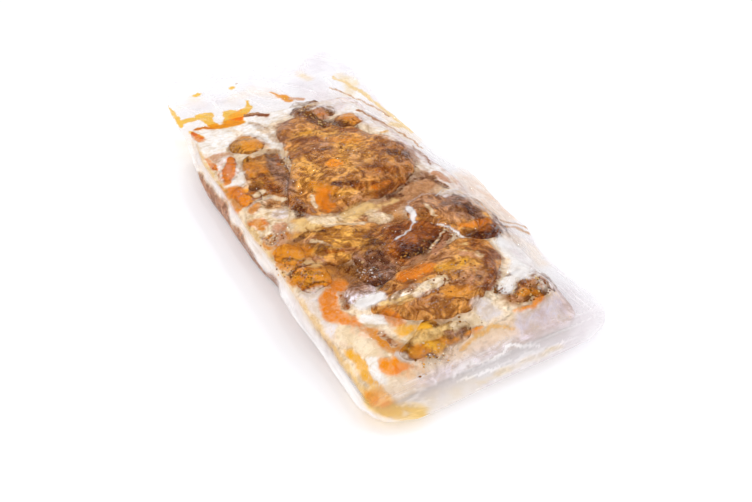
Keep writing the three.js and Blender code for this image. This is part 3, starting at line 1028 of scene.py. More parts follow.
# The slices and lumps. An outline runs round its piece by reading.
SLICES = (
    Slice(
        "slice_big",
        ((-8, 72), (3, 70), (14, 64), (24, 46), (33, 37), (40, 24), (48, 15), (46, 3), (42, -13),
         (33, -25), (14, -31), (-4, -33), (-20, -35), (-31, -33), (-39, -24), (-40, -12), (-32, 0),
         (-26, 12), (-20, 26), (-18, 42), (-15, 60)),
        Tone.HONEY, sink=0.2, brow=4.0, fall=4.4, thick=9, grain=14, seed=2,
    ),
    Slice(
        "slice_side",
        ((-45, 42), (-36, 42), (-25, 42), (-22, 27), (-26, 12), (-31, 1), (-40, -4), (-50, -3),
         (-54, 8), (-50, 20), (-46, 31)),
        Tone.OLIVE, sink=0.9, brow=5, fall=2.6, grain=84, seed=3,
    ),
    Slice(
        "slice_cross",
        ((16, -45), (26, -41), (37, -42), (43, -54), (44, -70), (42, -81), (33, -85), (27, -76),
         (21, -65), (13, -56)),
        Tone.HONEY, sink=0.5, brow=5, fall=2.6, grain=66, seed=4,
    ),
    Slice(
        "slice_middle",
        ((-20, -58), (-8, -53), (6, -52), (16, -58), (25, -68), (27, -78), (18, -84), (4, -88),
         (-12, -90), (-27, -88), (-35, -82), (-32, -70), (-26, -63)),
        Tone.RUST, sink=1.3, brow=6, fall=2.6, grain=8, seed=5,
    ),
    Slice(
        "slice_gold",
        ((-48, -48), (-38, -42), (-24, -42), (-12, -47), (-8, -56), (-16, -62), (-24, -68),
         (-34, -74), (-44, -70), (-49, -60)),
        Tone.GOLD, sink=0.6, brow=6, fall=3.2, grain=-18, seed=6,
    ),
    Slice(
        "slice_low",
        ((-39, -106), (-30, -98), (-20, -93), (-4, -90), (12, -87), (26, -81), (35, -85), (39, -92),
         (38, -104), (29, -113), (18, -121), (8, -127), (-4, -129), (-16, -127), (-27, -120),
         (-35, -114)),
        Tone.HONEY, sink=0.2, brow=4.0, fall=4.2, thick=9, grain=12, seed=7,
    ),
    Slice(
        "slice_clear",
        ((36, -48), (46, -46), (54, -54), (56, -68), (52, -80), (44, -80), (41, -68), (36, -58)),
        Tone.GREY, sink=0.7, brow=5, fall=3.2, grain=70, seed=8,
    ),
    Slice(
        "slice_corner",
        ((30, -86), (40, -80), (50, -77), (55, -79), (54, -84), (48, -90), (38, -93)),
        Tone.UMBER, sink=1.2, brow=4, fall=2.6, grain=12, seed=9,
    ),
    Slice(
        "slice_right_end",
        ((21, -129), (32, -124), (42, -121), (49, -122), (49, -130), (42, -136), (30, -138),
         (21, -135)),
        Tone.OLIVE, sink=0.8, brow=4, fall=3.2, grain=16, seed=10,
    ),
    Slice(
        "slice_left_end",
        ((-41, -136), (-30, -130), (-14, -130), (-2, -136), (-5, -143), (-18, -148), (-31, -147),
         (-40, -143)),
        Tone.OLIVE, sink=0.6, brow=4, fall=3.0, grain=6, seed=11,
    ),
    Slice(
        "lump_gold",
        ((-48, 54), (-42, 62), (-34, 67), (-27, 63), (-24, 55), (-28, 47), (-37, 44), (-45, 47)),
        Tone.GOLD, sink=0.5, brow=6, fall=2.4, grain=40, seed=12,
    ),
    Slice(
        "lump_crust",
        ((3, 80), (8, 90), (16, 87), (25, 89), (25, 78), (21, 68), (24, 60), (17, 56), (9, 62),
         (3, 71)),
        Tone.OLIVE, sink=0.7, brow=4, fall=3.0, grain=70, seed=13, lump=1.3,
    ),
    Slice(
        "lump_fat",
        ((22, 52), (27, 60), (34, 62), (40, 54), (38, 45), (30, 41), (23, 44)),
        Tone.HONEY, sink=0.7, brow=5, fall=3.0, grain=60, seed=14, lump=0.9,
    ),
    Slice(
        "lump_rim",
        ((-63, 2), (-60, 14), (-52, 19), (-46, 12), (-45, 1), (-51, -6), (-59, -8)),
        Tone.AMBER, sink=0.9, brow=5, fall=3.0, grain=70, seed=15,
    ),
    Slice(
        "lump_rim_far",
        ((-63, 20), (-62, 34), (-56, 48), (-50, 48), (-50, 34), (-55, 22)),
        Tone.TANGERINE, sink=1.1, brow=4, fall=2.6, grain=64, seed=16,
    ),
    Slice(
        "lump_pale",
        ((-64, -14), (-58, -4), (-47, -3), (-41, -12), (-42, -26), (-48, -38), (-60, -44),
         (-66, -32)),
        Tone.CREAM, sink=0.8, brow=6, fall=2.8, grain=-50, seed=17,
    ),
    Slice(
        "lump_yellow_far",
        ((-64, -50), (-56, -43), (-48, -46), (-46, -56), (-51, -63), (-60, -62)),
        Tone.AMBER, sink=0.7, brow=5, fall=2.8, grain=10, seed=18, lump=0.9,
    ),
    Slice(
        "lump_yellow",
        ((-63, -72), (-58, -65), (-48, -64), (-42, -70), (-43, -80), (-49, -85), (-58, -84)),
        Tone.AMBER, sink=0.5, brow=5, fall=3.0, grain=10, seed=19, lump=1.0,
    ),
    Slice(
        "lump_grey",
        ((-33, -82), (-20, -76), (-10, -84), (-12, -93), (-22, -97), (-31, -92)),
        Tone.GREY, sink=0.8, brow=5, fall=2.8, grain=0, seed=20,
    ),
    Slice(
        "lump_clear",
        ((-44, -92), (-38, -87), (-30, -89), (-28, -97), (-35, -103), (-44, -100)),
        Tone.PEARL, sink=0.7, brow=4, fall=2.6, grain=0, seed=21,
    ),
    Slice(
        "fat_ridge",
        ((-42, -34), (-34, -33), (-18, -40), (-6, -42), (5, -44), (5, -54), (-5, -56), (-12, -50),
         (-26, -44), (-38, -40)),
        Tone.STRAW, sink=0.4, brow=3.4, fall=2.4, grain=-24, seed=22, lump=0.4,
    ),
    Slice(
        "fat_strip",
        ((-28, -103), (-16, -102), (-8, -103), (4, -102), (5, -106), (-6, -109), (-16, -107),
         (-27, -108)),
        Tone.CREAM, sink=-0.6, brow=2.2, fall=1.6, thick=3, grain=4, seed=23, lump=0.3,
    ),
)


class Finish:
    """Shared helpers for node-based finishes."""

    name = "finish"

    def start(self) -> tuple[bpy.types.Material, bpy.types.NodeTree]:
        """Makes an empty node-based material."""
        made = bpy.data.materials.new(self.name)
        made.use_nodes = True
        made.node_tree.nodes.clear()
        return made, made.node_tree

    @staticmethod
    def node(tree: bpy.types.NodeTree, kind: str, **values: object) -> bpy.types.Node:
        """Adds a node and sets its properties and its sockets.

        Args:
            tree: The material's nodes.
            kind: The node's type, without its ShaderNode prefix.
            **values: A property, or a socket's value where the name is one of its inputs.

        Returns:
            The node.
        """
        made = tree.nodes.new("ShaderNode" + kind)
        for name, value in values.items():
            if hasattr(made, name):
                setattr(made, name, value)
            else:
                made.inputs[name.replace("_", " ").title()].default_value = value
        return made

    def noise(
        self, tree: bpy.types.NodeTree, place: object, size: float, detail: float, rough: float,
        twist: float,
    ) -> bpy.types.NodeSocket:
        """Adds fractal noise over places.

        Args:
            tree: The material's nodes.
            place: The socket that gives the place.
            size: Size of a feature, in metres.
            detail: How many finer sizes are added.
            rough: How strong they are.
            twist: How far the pattern is bent by itself.

        Returns:
            The socket with the noise.
        """
        made = self.node(tree, "TexNoise", scale=1 / size, detail=detail, roughness=rough)
        made.inputs["Distortion"].default_value = twist
        tree.links.new(place, made.inputs["Vector"])
        return made.outputs["Fac"]

    def ramp(
        self, tree: bpy.types.NodeTree, value: object, start: float, end: float,
        low: float = 0.0, high: float = 1.0,
    ) -> bpy.types.NodeSocket:
        """Adds a smooth step.

        Args:
            tree: The material's nodes.
            value: The socket to step.
            start: Value at which the step starts.
            end: Value at which it ends.
            low: Result before the step.
            high: Result after it.

        Returns:
            The socket with the result.
        """
        made = self.node(tree, "MapRange", interpolation_type="SMOOTHSTEP")
        for socket, number in zip(made.inputs[1:5], (start, end, low, high)):
            socket.default_value = number
        tree.links.new(value, made.inputs["Value"])
        return made.outputs["Result"]

    def blend(
        self, tree: bpy.types.NodeTree, share: object, first: object, second: object,
        mode: str = "MIX",
    ) -> bpy.types.NodeSocket:
        """Adds a mix of two colours.

        Args:
            tree: The material's nodes.
            share: Share of the second colour, a number or a socket.
            first: The first colour, a value or a socket.
            second: The second colour, a value or a socket.
            mode: How they are blended.

        Returns:
            The socket with the colour.
        """
        made = self.node(tree, "Mix", data_type="RGBA", blend_type=mode)
        sockets = (made.inputs["Factor"], *(i for i in made.inputs if i.type == "RGBA"))
        for socket, given in zip(sockets, (share, first, second)):
            if isinstance(given, bpy.types.NodeSocket):
                tree.links.new(given, socket)
            else:
                socket.default_value = given
        return next(o for o in made.outputs if o.type == "RGBA")


@dataclass(frozen=True)
class FoodFinish(Finish):
    """Wet cooked meat, fat or sauce: coats of colour with ragged edges, fibres, flecks and pits."""

    name: str = "meat"
    fibre_size: float = 0.0020
    glow_size: float = 0.0070
    fibre_stretch: float = 5.0
    blot_size: float = 0.0042
    fleck_size: float = 0.0013
    contrast: float = 1.0
    roughness: float = 0.28
    specular: float = 0.03
    bump: float = 0.6
    bump_height: float = 0.0005
    deep_cut: tuple = (0.40, 1.0, 0.4)
    pale_cut: tuple = (0.40, 0.9, 0.3)
    oil_cut: tuple = (0.46, 0.8, 0.2)
    glow_shade: tuple = ((0.66, 0.58, 0.54), (1.32, 1.38, 1.54))
    fibre_shade: tuple = ((0.82, 0.76, 0.72), (1.18, 1.22, 1.30))
    blot_shade: tuple = ((0.84, 0.80, 0.78), (1.10, 1.12, 1.16))
    oil_shade: tuple = ((0.86, 0.76, 0.60), (1.04, 1.05, 1.08))
    pit_tint: tuple = (0.36, 0.24, 0.13, 1)
    pit_share: float = 0.6
    spark_share: float = 0.6

    def coat(
        self, tree: bpy.types.NodeTree, name: str, under: bpy.types.NodeSocket,
        edge: bpy.types.NodeSocket, wear: bpy.types.NodeSocket, cut: tuple[float, float, float],
    ) -> bpy.types.NodeSocket:
        """Lays one coat of colour over another, with a ragged edge.

        Args:
            tree: The material's nodes.
            name: The attribute that holds the coat's colour and share.
            under: The colour below it.
            edge: The noise that its edge follows.
            wear: The noise by which the colour below shows through.
            cut: Softness of the edge, how far the noise moves it, and how much shows through.

        Returns:
            The socket with the colour.
        """
        softness, ragged, worn_share = cut
        given = self.node(tree, "Attribute", attribute_name=name)
        push = self.node(tree, "Math", operation="MULTIPLY_ADD")
        tree.links.new(edge, push.inputs[0])
        push.inputs[1].default_value = 2 * ragged
        push.inputs[2].default_value = -ragged
        reach = self.node(tree, "Math", operation="ADD")
        tree.links.new(push.outputs["Value"], reach.inputs[0])
        tree.links.new(given.outputs["Alpha"], reach.inputs[1])
        share = self.ramp(tree, reach.outputs["Value"], 0.5 - softness, 0.5 + softness)
        worn = self.ramp(tree, wear, 0.42, 0.58, 0.0, worn_share)
        shade = self.blend(tree, worn, given.outputs["Color"], under)
        return self.blend(tree, share, under, shade)

    def shade(
        self, tree: bpy.types.NodeTree, colour: bpy.types.NodeSocket,
        pattern: bpy.types.NodeSocket, factors: tuple[tuple, tuple],
    ) -> bpy.types.NodeSocket:
        """Darkens and lightens a colour by a pattern.

        Args:
            tree: The material's nodes.
            colour: The colour.
            pattern: The noise that it follows.
            factors: What the colour is multiplied by where the noise is low, and where it is high.

        Returns:
            The socket with the colour.
        """
        eased = ((*(mix(1.0, part, self.contrast) for part in ends), 1) for ends in factors)
        factor = self.blend(tree, self.ramp(tree, pattern, 0.40, 0.60), *eased)
        return self.blend(tree, 1.0, colour, factor, "MULTIPLY")

    def build(self) -> bpy.types.Material:
        """Makes the material.

        Returns:
            The material.
        """
        made, tree = self.start()
        link = tree.links.new
        place = self.node(tree, "Attribute", attribute_name="grain").outputs["Vector"]
        along = self.node(tree, "Mapping")
        along.inputs["Scale"].default_value = (1 / self.fibre_stretch, 1, 1)
        link(place, along.inputs["Vector"])
        fibre = self.noise(tree, along.outputs["Vector"], self.fibre_size, 4, 0.6, 0.9)
        blot = self.noise(tree, place, self.blot_size, 7, 0.62, 0.3)
        fleck = self.noise(tree, place, self.fleck_size, 3, 0.6, 0.0)
        grit = self.noise(tree, place, 2.1 * self.fleck_size, 6, 0.7, 0.2)
        glow = self.noise(tree, place, self.glow_size, 5, 0.6, 1.2)

        stain = self.node(tree, "Attribute", attribute_name="stain").outputs["Color"]
        colour = self.coat(tree, "deep", stain, fibre, grit, self.deep_cut)
        colour = self.shade(tree, colour, glow, self.glow_shade)
        colour = self.shade(tree, colour, fibre, self.fibre_shade)
        pits = self.ramp(tree, grit, 0.55, 0.63, 0.0, self.pit_share * self.contrast)
        pitted = self.blend(tree, 1.0, colour, self.pit_tint, "MULTIPLY")
        colour = self.blend(tree, pits, colour, pitted)
        colour = self.coat(tree, "pale", colour, blot, grit, self.pale_cut)
        colour = self.shade(tree, colour, blot, self.blot_shade)
        colour = self.coat(tree, "oil", colour, blot, grit, self.oil_cut)
        colour = self.shade(tree, colour, glow, self.oil_shade)
        spark = self.ramp(tree, fleck, 0.63, 0.70, 0.0, self.spark_share)
        colour = self.blend(tree, spark, colour, (*Tone.STRAW.rgb, 1))

        height = self.node(tree, "Math", operation="SUBTRACT")
        link(fibre, height.inputs[0])
        link(pits, height.inputs[1])
        bump = self.node(tree, "Bump", strength=self.bump, distance=self.bump_height)
        link(height.outputs["Value"], bump.inputs["Height"])
        shader = self.node(tree, "BsdfPrincipled", roughness=self.roughness)
        shader.inputs["Specular IOR Level"].default_value = self.specular
        link(colour, shader.inputs["Base Color"])
        link(bump.outputs["Normal"], shader.inputs["Normal"])
        out = self.node(tree, "OutputMaterial")
        link(shader.outputs["BSDF"], out.inputs["Surface"])
        return made


@dataclass(frozen=True)
class CrumbFinish(Finish):
    """Small grains of meat, fat and spice, each of one colour with a rough skin."""

    name: str = "crumb"
    grain_size: float = 0.0005
    dark: tuple = (0.5, 0.42, 0.34, 1)
    roughness: float = 0.5
    specular: float = 0.05

    def build(self) -> bpy.types.Material:
        """Makes the material.

        Returns:
            The material.
        """
        made, tree = self.start()
        place = self.node(tree, "TexCoord").outputs["Object"]
        grain = self.noise(tree, place, self.grain_size, 2, 0.5, 0.0)
        stain = self.node(tree, "Attribute", attribute_name="stain").outputs["Color"]
        dark = self.blend(tree, 1.0, stain, self.dark, "MULTIPLY")
        colour = self.blend(tree, self.ramp(tree, grain, 0.4, 0.6), dark, stain)
        shader = self.node(tree, "BsdfPrincipled", roughness=self.roughness)
        shader.inputs["Specular IOR Level"].default_value = self.specular
        tree.links.new(colour, shader.inputs["Base Color"])
        out = self.node(tree, "OutputMaterial")
        tree.links.new(shader.outputs["BSDF"], out.inputs["Surface"])
        return made


@dataclass(frozen=True)
class FilmFinish(Finish):
    """Thin clear film: lets nearly all light through, mirrors at its creases, and is white where its
    haze is set, which includes painted highlights on creases.
    """

    name: str = "film"
    haze: tuple = (0.99, 0.97, 0.945, 1)
    haze_tint: float = 0.7
    haze_through: float = 0.15
    roughness: float = 0.02
    mirror: float = 0.006
    mirror_rim: float = 0.35
    mirror_power: float = 4.0
    crinkle_size: float = 0.0016
    crinkle: float = 0.00022
    fold_size: float = 0.012
    fold_step: float = 0.05
    fold_share: float = 24.0

    def build(self) -> bpy.types.Material:
        """Makes the material.

        Returns:
            The material.
        """
        made, tree = self.start()
        link = tree.links.new
        place = self.node(tree, "TexCoord")
        fine = self.noise(tree, place.outputs["Object"], self.crinkle_size, 2, 0.5, 0.6)
        wide = self.noise(tree, place.outputs["Object"], self.fold_size, 3, 0.55, 1.2)
        fold = self.node(tree, "Math", operation="PINGPONG")
        link(wide, fold.inputs[0])
        fold.inputs[1].default_value = self.fold_step
        height = self.node(tree, "Math", operation="MULTIPLY_ADD")
        link(fold.outputs["Value"], height.inputs[0])
        height.inputs[1].default_value = self.fold_share
        link(fine, height.inputs[2])
        bump = self.node(tree, "Bump", strength=1, distance=self.crinkle)
        link(height.outputs["Value"], bump.inputs["Height"])
        tint = self.node(tree, "Attribute", attribute_name="tint")
        clear = self.node(tree, "BsdfTransparent")
        link(tint.outputs["Color"], clear.inputs["Color"])
        white = self.blend(tree, self.haze_tint, self.haze, tint.outputs["Color"], "MULTIPLY")
        front = self.node(tree, "BsdfDiffuse")
        link(white, front.inputs["Color"])
        back = self.node(tree, "BsdfTranslucent")
        link(white, back.inputs["Color"])
        milky = self.node(tree, "MixShader")
        milky.inputs[0].default_value = self.haze_through
        link(front.outputs["BSDF"], milky.inputs[1])
        link(back.outputs["BSDF"], milky.inputs[2])
        # The haze attribute is milky film, and also painted highlights along creases.
        haze = self.node(tree, "Attribute", attribute_name="haze")
        veil = self.node(tree, "MixShader")
        link(haze.outputs["Fac"], veil.inputs[0])
        link(clear.outputs["BSDF"], veil.inputs[1])
        link(milky.outputs["Shader"], veil.inputs[2])
        gloss = self.node(tree, "BsdfGlossy", roughness=self.roughness)
        link(bump.outputs["Normal"], gloss.inputs["Normal"])
        lean = self.node(tree, "LayerWeight", blend=0.5)
        link(bump.outputs["Normal"], lean.inputs["Normal"])
        steep = self.node(tree, "Math", operation="POWER")
        link(lean.outputs["Facing"], steep.inputs[0])
        steep.inputs[1].default_value = self.mirror_power
        edge = self.node(tree, "MapRange")
        edge.inputs["To Min"].default_value = self.mirror
        edge.inputs["To Max"].default_value = self.mirror_rim
        link(steep.outputs["Value"], edge.inputs["Value"])
        skin = self.node(tree, "MixShader")
        link(edge.outputs["Result"], skin.inputs[0])
        link(veil.outputs["Shader"], skin.inputs[1])
        link(gloss.outputs["BSDF"], skin.inputs[2])
        out = self.node(tree, "OutputMaterial")
        link(skin.outputs["Shader"], out.inputs["Surface"])
        return made


@dataclass(frozen=True)
class FloorFinish(Finish):
    """Plain pale floor."""

    name: str = "floor"
    shade: tuple = (0.97, 0.97, 0.975, 1)

    def build(self) -> bpy.types.Material:
        """Makes the material.

        Returns:
            The material.
        """
        made, tree = self.start()
        shader = self.node(tree, "BsdfDiffuse")
        shader.inputs["Color"].default_value = self.shade
        out = self.node(tree, "OutputMaterial")
        tree.links.new(shader.outputs["BSDF"], out.inputs["Surface"])
        return made


def to_object(name: str, bm: bmesh.types.BMesh) -> bpy.types.Object:
    """Turns a bmesh into an object at the origin, with smooth faces.

    Args:
        name: The piece's name.
        bm: The mesh, which is freed.

    Returns:
        The object.
    """
    for face in bm.faces:
        face.smooth = True
    mesh = bpy.data.meshes.new(name)
    bm.to_mesh(mesh)
    bm.free()
    piece = bpy.data.objects.new(name, mesh)
    bpy.context.scene.collection.objects.link(piece)
    return piece


def places_of(piece: bpy.types.Object) -> Array:
    """Reads a piece's vertices.

    Args:
        piece: The piece.

    Returns:
        One row for each vertex, in its mesh's own units.
    """
    flat = np.empty(len(piece.data.vertices) * 3)
    piece.data.vertices.foreach_get("co", flat)
    return flat.reshape(-1, 3)


def move_to(piece: bpy.types.Object, x: Array, y: Array, z: Array) -> None:
    """Places a piece's vertices.

    Args:
        piece: The piece.
        x: Places across, in mm.
        y: Places along, in mm.
        z: Heights, in mm.
    """
    flat = np.stack([x, y, z], -1).ravel() * MM
    piece.data.vertices.foreach_set("co", flat)
    piece.data.update()


def put_values(piece: bpy.types.Object, name: str, values: Array) -> None:
    """Stores a number, a vector or a colour for each vertex.

    Args:
        piece: The piece.
        name: The attribute's name.
        values: One row for each vertex, with 1, 3 or 4 columns.
    """
    kinds = {1: ("FLOAT", "value"), 3: ("FLOAT_VECTOR", "vector"), 4: ("FLOAT_COLOR", "color")}
    columns = 1 if values.ndim == 1 else values.shape[1]
    kind, slot = kinds[columns]
    made = piece.data.attributes.new(name, kind, "POINT")
    made.data.foreach_set(slot, np.ascontiguousarray(values, np.float32).ravel())


def box_grid(columns: int, rows: int) -> bmesh.types.BMesh:
    """Makes a closed slab of cells, one unit thick: its top at z = 0, its underside at z = -1.

    Args:
        columns: Cells across.
        rows: Cells along.

    Returns:
        The slab, two units wide and two long.
    """
    bm = bmesh.new()
    bmesh.ops.create_grid(bm, x_segments=columns, y_segments=rows, size=1)
    made = bmesh.ops.extrude_face_region(bm, geom=list(bm.faces))["geom"]
    lower = [item for item in made if isinstance(item, bmesh.types.BMVert)]
    bmesh.ops.translate(bm, verts=lower, vec=(0, 0, -1))
    bmesh.ops.recalc_face_normals(bm, faces=list(bm.faces))
    return bm


@dataclass
class Palette:
    """Works out the coats of colour of the food at any place."""

    sight: Sight
    side: LeftSide
    wander: Wander = field(default_factory=lambda: Wander(40))
    grit: Noise = field(default_factory=lambda: Noise(44))
    swell: float = 0.22
    swell_size: float = 14.0
    streak_size: float = 2.6

    def coats(self, x: Array, y: Array, z: Array, tone: Tone) -> dict[str, Array]:
        """Colours of a piece at its places, coat by coat.

        Args:
            x: Places across.
            y: Places along.
            z: Heights.
            tone: The piece's own tone.

        Returns:
            For each coat one row of red, green, blue and how much of it shows.
        """
        rx, ry = self.wander.bend(*self.sight.read(x, y, z))
        swell = self.grit.rough(x, y, self.swell_size, 3)[:, None]
        ground = np.tile(tone.rgb, (len(x), 1)) * (1 + self.swell * swell)
        rows = {name: np.zeros((len(x), 4)) for name in LAYERS}
        for item in STAINS_AND_PAINTED_LIGHT:
            share = item.mask(rx, ry)[:, None]
            if item.tone.layer == "stain":
                ground = mix(ground, item.tone.rgb, share)
                continue
            sure = smooth(share, 0.2, 0.6)
            for name, row in rows.items():
                if name == item.tone.layer:
                    row[:, :3] = mix(row[:, :3], item.tone.rgb, smooth(share, 0.0, 0.4))
                    row[:, 3:] = np.maximum(row[:, 3:], share)
                else:
                    row[:, 3:] *= 1 - 0.8 * sure
        # The left wall: darker grey-brown with lighter streaks, partly the food's colour and partly
        # painted shade.
        wall = self.side.wall(x, y, z)[:, None]
        streaks = smooth(self.grit.rough(y, 0.2 * z, self.streak_size, 3), -0.5, 0.5)[:, None]
        for row in rows.values():
            row[:, 3:] *= 1 - wall
        ground = mix(ground, Tone.GREY.rgb * mix(1.0, 2.0, streaks), wall)
        rows["stain"] = np.concatenate([ground, np.ones((len(x), 1))], 1)
        return {name: np.clip(row, 0, 1) for name, row in rows.items()}


@dataclass
class Filling:
    """All the food in the pouch: the slices and lumps, and the sauce round them."""

    sight: Sight
    pouch: Pouch
    palette: Palette
    food: bpy.types.Material
    sauce: bpy.types.Material
    segment: float = 0.72
    # Painted shade: colours are multiplied towards this dark tint in the grooves beside the slices
    # and along their rims.
    crevice_shade_tint: tuple = (0.42, 0.30, 0.20)
    crevice_shade_depth: float = 2.2
    crevice_shade_reach: float = 1.3
    sauce_gap: float = 0.5
    sauce_sink: float = 1.4
    sauce_lump: float = 0.9
    sauce_inset: float = 0.3
    sauce_lift: float = 0.35
    sauce_columns: int = 150
    sauce_rows: int = 268
    slice_lift: float = 0.8
    # Painted shade along slice rims: how far a rim must stand above the food beside it to escape the
    # dark line, and the line's strength on pale slices.
    outline: float = 0.8
    pale_rim_shade: float = 0.4
    covers: dict = field(init=False, default_factory=dict)

    def settle(self) -> Array:
        """Places the slices and the sauce, and works out where painted shade darkens the sauce beside
        the slices.

        Returns:
            The height of the food on the raster, and NO_FOOD where there is none.
        """
        raster, pouch = self.pouch.raster, self.pouch
        noise = Noise(70)
        lumps = noise.rough(raster.x, raster.y, 8, 3)
        left, right = pouch.filling(raster.y)
        inset = np.minimum(raster.x - left, right - raster.x)
        ends = np.minimum(raster.y - pouch.fill_rows[0], pouch.fill_rows[-1] - raster.y)
        inside = smooth(np.minimum(inset, ends), 0, 8)
        sunk = inside * (self.sauce_sink + self.sauce_lump * lumps)
        self.sauce_top = pouch.top - self.sauce_gap - sunk
        held = (inset > -0.5) & (ends > -0.5)
        cover = np.where(held, self.sauce_top, NO_FOOD)
        for piece in SLICES:
            piece.settle(self.sight, pouch)
            self.covers[piece.name] = piece.cover(pouch, raster.x, raster.y)
            cover = np.maximum(cover, self.covers[piece.name])
        # Painted shade: the sauce gets a darkening share that fades with distance from the slices.
        meat = (cover > self.sauce_top + 0.05) * 1.0
        self.crevice = self.crevice_shade_depth * raster.blur(meat, self.crevice_shade_reach) * (1 - meat)
        return cover

    def dress(
        self, piece: bpy.types.Object, x: Array, y: Array, z: Array, tone: Tone, shade: Array,
        fade: float | Array = 0.0,
    ) -> None:
        """Stores a piece's coats of colour, darkened where shade is painted in, and makes it ride on
        the pouch.

        Args:
            piece: The piece.
            x: Its places across.
            y: Its places along.
            z: Its heights.
            tone: Its own tone.
            shade: How much painted shade darkens each place, in a groove beside a slice or along a
                slice's rim, from 0 to 1.
            fade: How far each place pales to clear jelly, from 0 to 1.
        """
        fade = np.broadcast_to(fade, x.shape)[:, None]
        for name, row in self.palette.coats(x, y, z, tone).items():
            # Painted shade: every coat is darkened towards the dark tint by the share of shade.
            row[:, :3] = mix(row[:, :3], row[:, :3] * self.crevice_shade_tint, shade[:, None])
            if name == "stain":
                row[:, :3] = mix(row[:, :3], Tone.PEARL.rgb, fade)
            else:
                row[:, 3:] *= 1 - fade
            put_values(piece, name, row)
        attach(piece, "root")

    def build_slice(self, item: Slice) -> bpy.types.Object:
        """Makes the mesh of one slice, with painted shade as a dark line along its rim.

        Args:
            item: The slice, settled in place.

        Returns:
            The piece.
        """
        rings = int(np.clip(item.size / self.segment, 8, 64))
        spokes = int(np.clip(2 * math.pi * item.size / self.segment, 40, 330))
        bm = bmesh.new()
        bmesh.ops.create_uvsphere(bm, u_segments=spokes, v_segments=2 * rings, radius=1)
        piece = to_object(item.name, bm)
        ball = places_of(piece)
        bearing = np.arctan2(ball[:, 1], ball[:, 0])
        share = 1 - np.abs(np.arcsin(np.clip(ball[:, 2], -1, 1))) / (math.pi / 2)
        reach = item.reach(bearing)
        x = item.centre[0] + share * reach * np.cos(bearing)
        y = item.centre[1] + share * reach * np.sin(bearing)
        top = item.top(self.pouch, x, y, share, reach)
        belly = item.thick * np.sqrt(np.clip(1 - share**4, 0, 1))
        rest = self.pouch.raster.sample(self.pouch.bottom, x, y) + self.slice_lift
        low = np.minimum(np.maximum(top - belly, rest), top)
        z = np.where(ball[:, 2] > 1e-4, top, np.where(ball[:, 2] < -1e-4, low, top - 0.1))
        move_to(piece, x, y, z)
        along, across = item.grained(x, y)
        shift = 60 * item.seed
        put_values(piece, "grain", np.stack([along + shift, across, z], -1) * MM)
        piece.data.materials.append(self.food)
        # Painted shade: a patchy dark line along the rim where the slice stands little above its
        # neighbours, fainter on pale slices.
        others = [cover for name, cover in self.covers.items() if name != item.name]
        beside = np.maximum.reduce([self.sauce_top, *others])
        proud = top - self.pouch.raster.sample(beside, x, y)
        drawn = 0.45 + 1.2 * item.noise.rough(x, y, 11, 2)
        if item.tone.layer == "pale":
            drawn = self.pale_rim_shade * drawn
        line = (1 - smooth(proud, 0.0, self.outline)) * drawn
        self.dress(piece, x, y, z, item.tone, np.clip(line, 0, 1))
        return piece

    def build_sauce(self) -> bpy.types.Object:
        """Makes the sauce, jelly and small scraps that fill the pouch between the slices.

        Returns:
            The piece.
        """
        piece = to_object("sauce", box_grid(self.sauce_columns, self.sauce_rows))
        cell = places_of(piece)
        u, v = (cell[:, 0] + 1) / 2, (cell[:, 1] + 1) / 2
        upper = cell[:, 2] > -0.5
        y = mix(self.pouch.fill_rows[0], self.pouch.fill_rows[-1], v)
        left, right = self.pouch.filling(y)
        x = mix(left + self.sauce_inset, right - self.sauce_inset, u)
        raster = self.pouch.raster
        top = raster.sample(self.sauce_top, x, y)
        low = raster.sample(self.pouch.bottom, x, y) + self.sauce_lift
        z = np.where(upper, np.maximum(top, low + 0.2), low)
        move_to(piece, x, y, z)
        put_values(piece, "grain", np.stack([x, y, z], -1) * MM)
        piece.data.materials.append(self.sauce)
        # Painted shade in the sauce beside the slices, on its upper part only, at half strength.
        crevice = np.clip(raster.sample(self.crevice, x, y), 0, 1) * smooth(z, 12, 17)
        near = smooth(x, -48, -30) * (1 - smooth(v, 0.005, 0.03))
        fade = np.maximum(1 - smooth(right - x, 1, 7), near)
        self.dress(piece, x, y, z, Tone.CREAM, 0.5 * crevice, fade)
        return piece


@dataclass(frozen=True)
class Scatter:
    """Where a handful of specks lies: along a line of readings, over a spread."""

    count: int
    spread: float
    tones: tuple
    points: tuple


